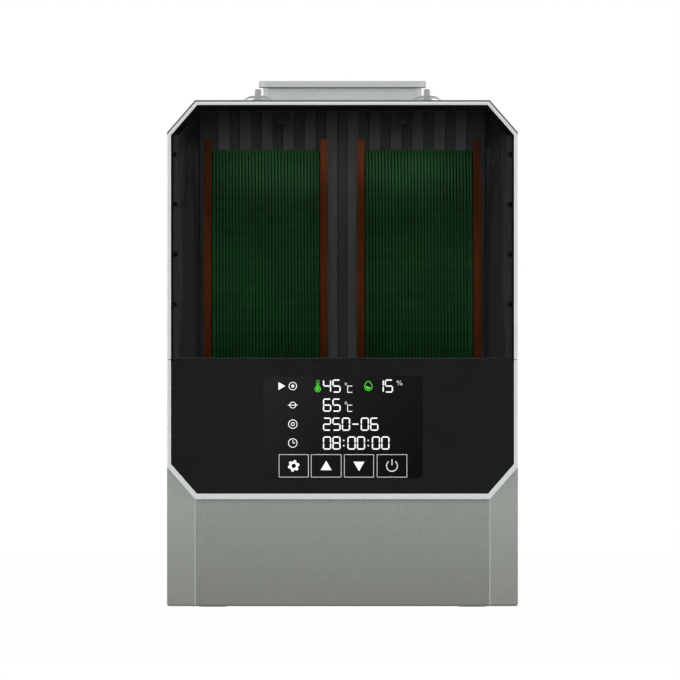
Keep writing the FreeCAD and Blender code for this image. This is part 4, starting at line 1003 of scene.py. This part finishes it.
# The chamber is lit inside: a dim panel hangs under the roof, and one stands beside each spool
CHAMBER_WIDE, CHAMBER_DEEP, CHAMBER_POWER = 0.15, 84.0 * MM, 0.02
CHAMBER_DROP = 16.0 * MM    # from the top of the lid to the panel's middle: all of it is below the roof
CHAMBER_AHEAD = 32.0 * MM   # how far in front of the middle it hangs
CHAMBER_TURN = Vector((0.0, 0.3, -1.0))
CHAMBER_SPREAD = 150        # degrees
FILL_SIZE, FILL_POWER = 0.19, 0.009
FILL_GAP = 1.0 * MM         # from the spool to the panel beside it
FILL_BACK = 15.0 * MM       # how far behind the spool's axle its middle is


def soft_lamp(name, place, aim, size, power):
    """Square soft box aimed at a point."""
    bpy.ops.object.select_all(action="DESELECT")
    bpy.ops.object.light_add(type="AREA", location=place)
    lamp = bpy.context.active_object
    lamp.name = name
    lamp.data.shape = "SQUARE"
    lamp.data.size = size
    lamp.data.energy = power
    lamp.rotation_euler = (Vector(aim) - Vector(place)).to_track_quat("-Z", "Y").to_euler()
    return lamp


front_lamp = soft_lamp("front", FRONT_PLACE, LAMP_AIM, FRONT_SIZE, FRONT_POWER)
front_lamp.visible_glossy = False
soft_lamp("key_above_front", KEY_PLACE, LAMP_AIM, KEY_SIZE, KEY_POWER)
soft_lamp("left_side", LEFT_PLACE, LAMP_AIM, SIDE_SIZE, SIDE_POWER)
soft_lamp("right_side", RIGHT_PLACE, LAMP_AIM, SIDE_SIZE, SIDE_POWER)

under_roof = Vector((0.0, -CHAMBER_AHEAD, lid_high[2] - CHAMBER_DROP))
chamber = soft_lamp("chamber_panel", under_roof, under_roof + CHAMBER_TURN, CHAMBER_WIDE, CHAMBER_POWER)
chamber.data.shape = "RECTANGLE"
chamber.data.size_y = CHAMBER_DEEP
chamber.data.spread = math.radians(CHAMBER_SPREAD)
chamber.visible_camera = False
for side, outward in (("left", -1), ("right", 1)):
    low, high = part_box(side + "_spool_flanges")
    reach = (high[0] - low[0]) / 2 + FILL_GAP
    beside = (low + high) / 2 + Vector((outward * reach, FILL_BACK, 0.0))
    fill = soft_lamp(side + "_fill", beside, beside + Vector((outward, 0.0, 0.0)), FILL_SIZE, FILL_POWER)
    fill.visible_camera = False


# Camera: far away with a long lens, straight in front

CAMERA_X, CAMERA_Z = -0.0015, 0.1613
CAMERA_AWAY = 18.25         # metres in front of the front frame
SENSOR_MM, LENS_MM = 36.0, 1600.0
CLIP_END = 60.0

camera_data = bpy.data.cameras.new("front_camera")
camera = bpy.data.objects.new("front_camera", camera_data)
bpy.context.scene.collection.objects.link(camera)
camera.location = (CAMERA_X, front_y - CAMERA_AWAY, CAMERA_Z)
camera.rotation_euler = (math.pi / 2, 0.0, 0.0)
camera_data.sensor_width = SENSOR_MM
camera_data.lens = LENS_MM
camera_data.clip_end = CLIP_END
bpy.context.scene.camera = camera
bpy.context.scene.view_settings.view_transform = "Standard"
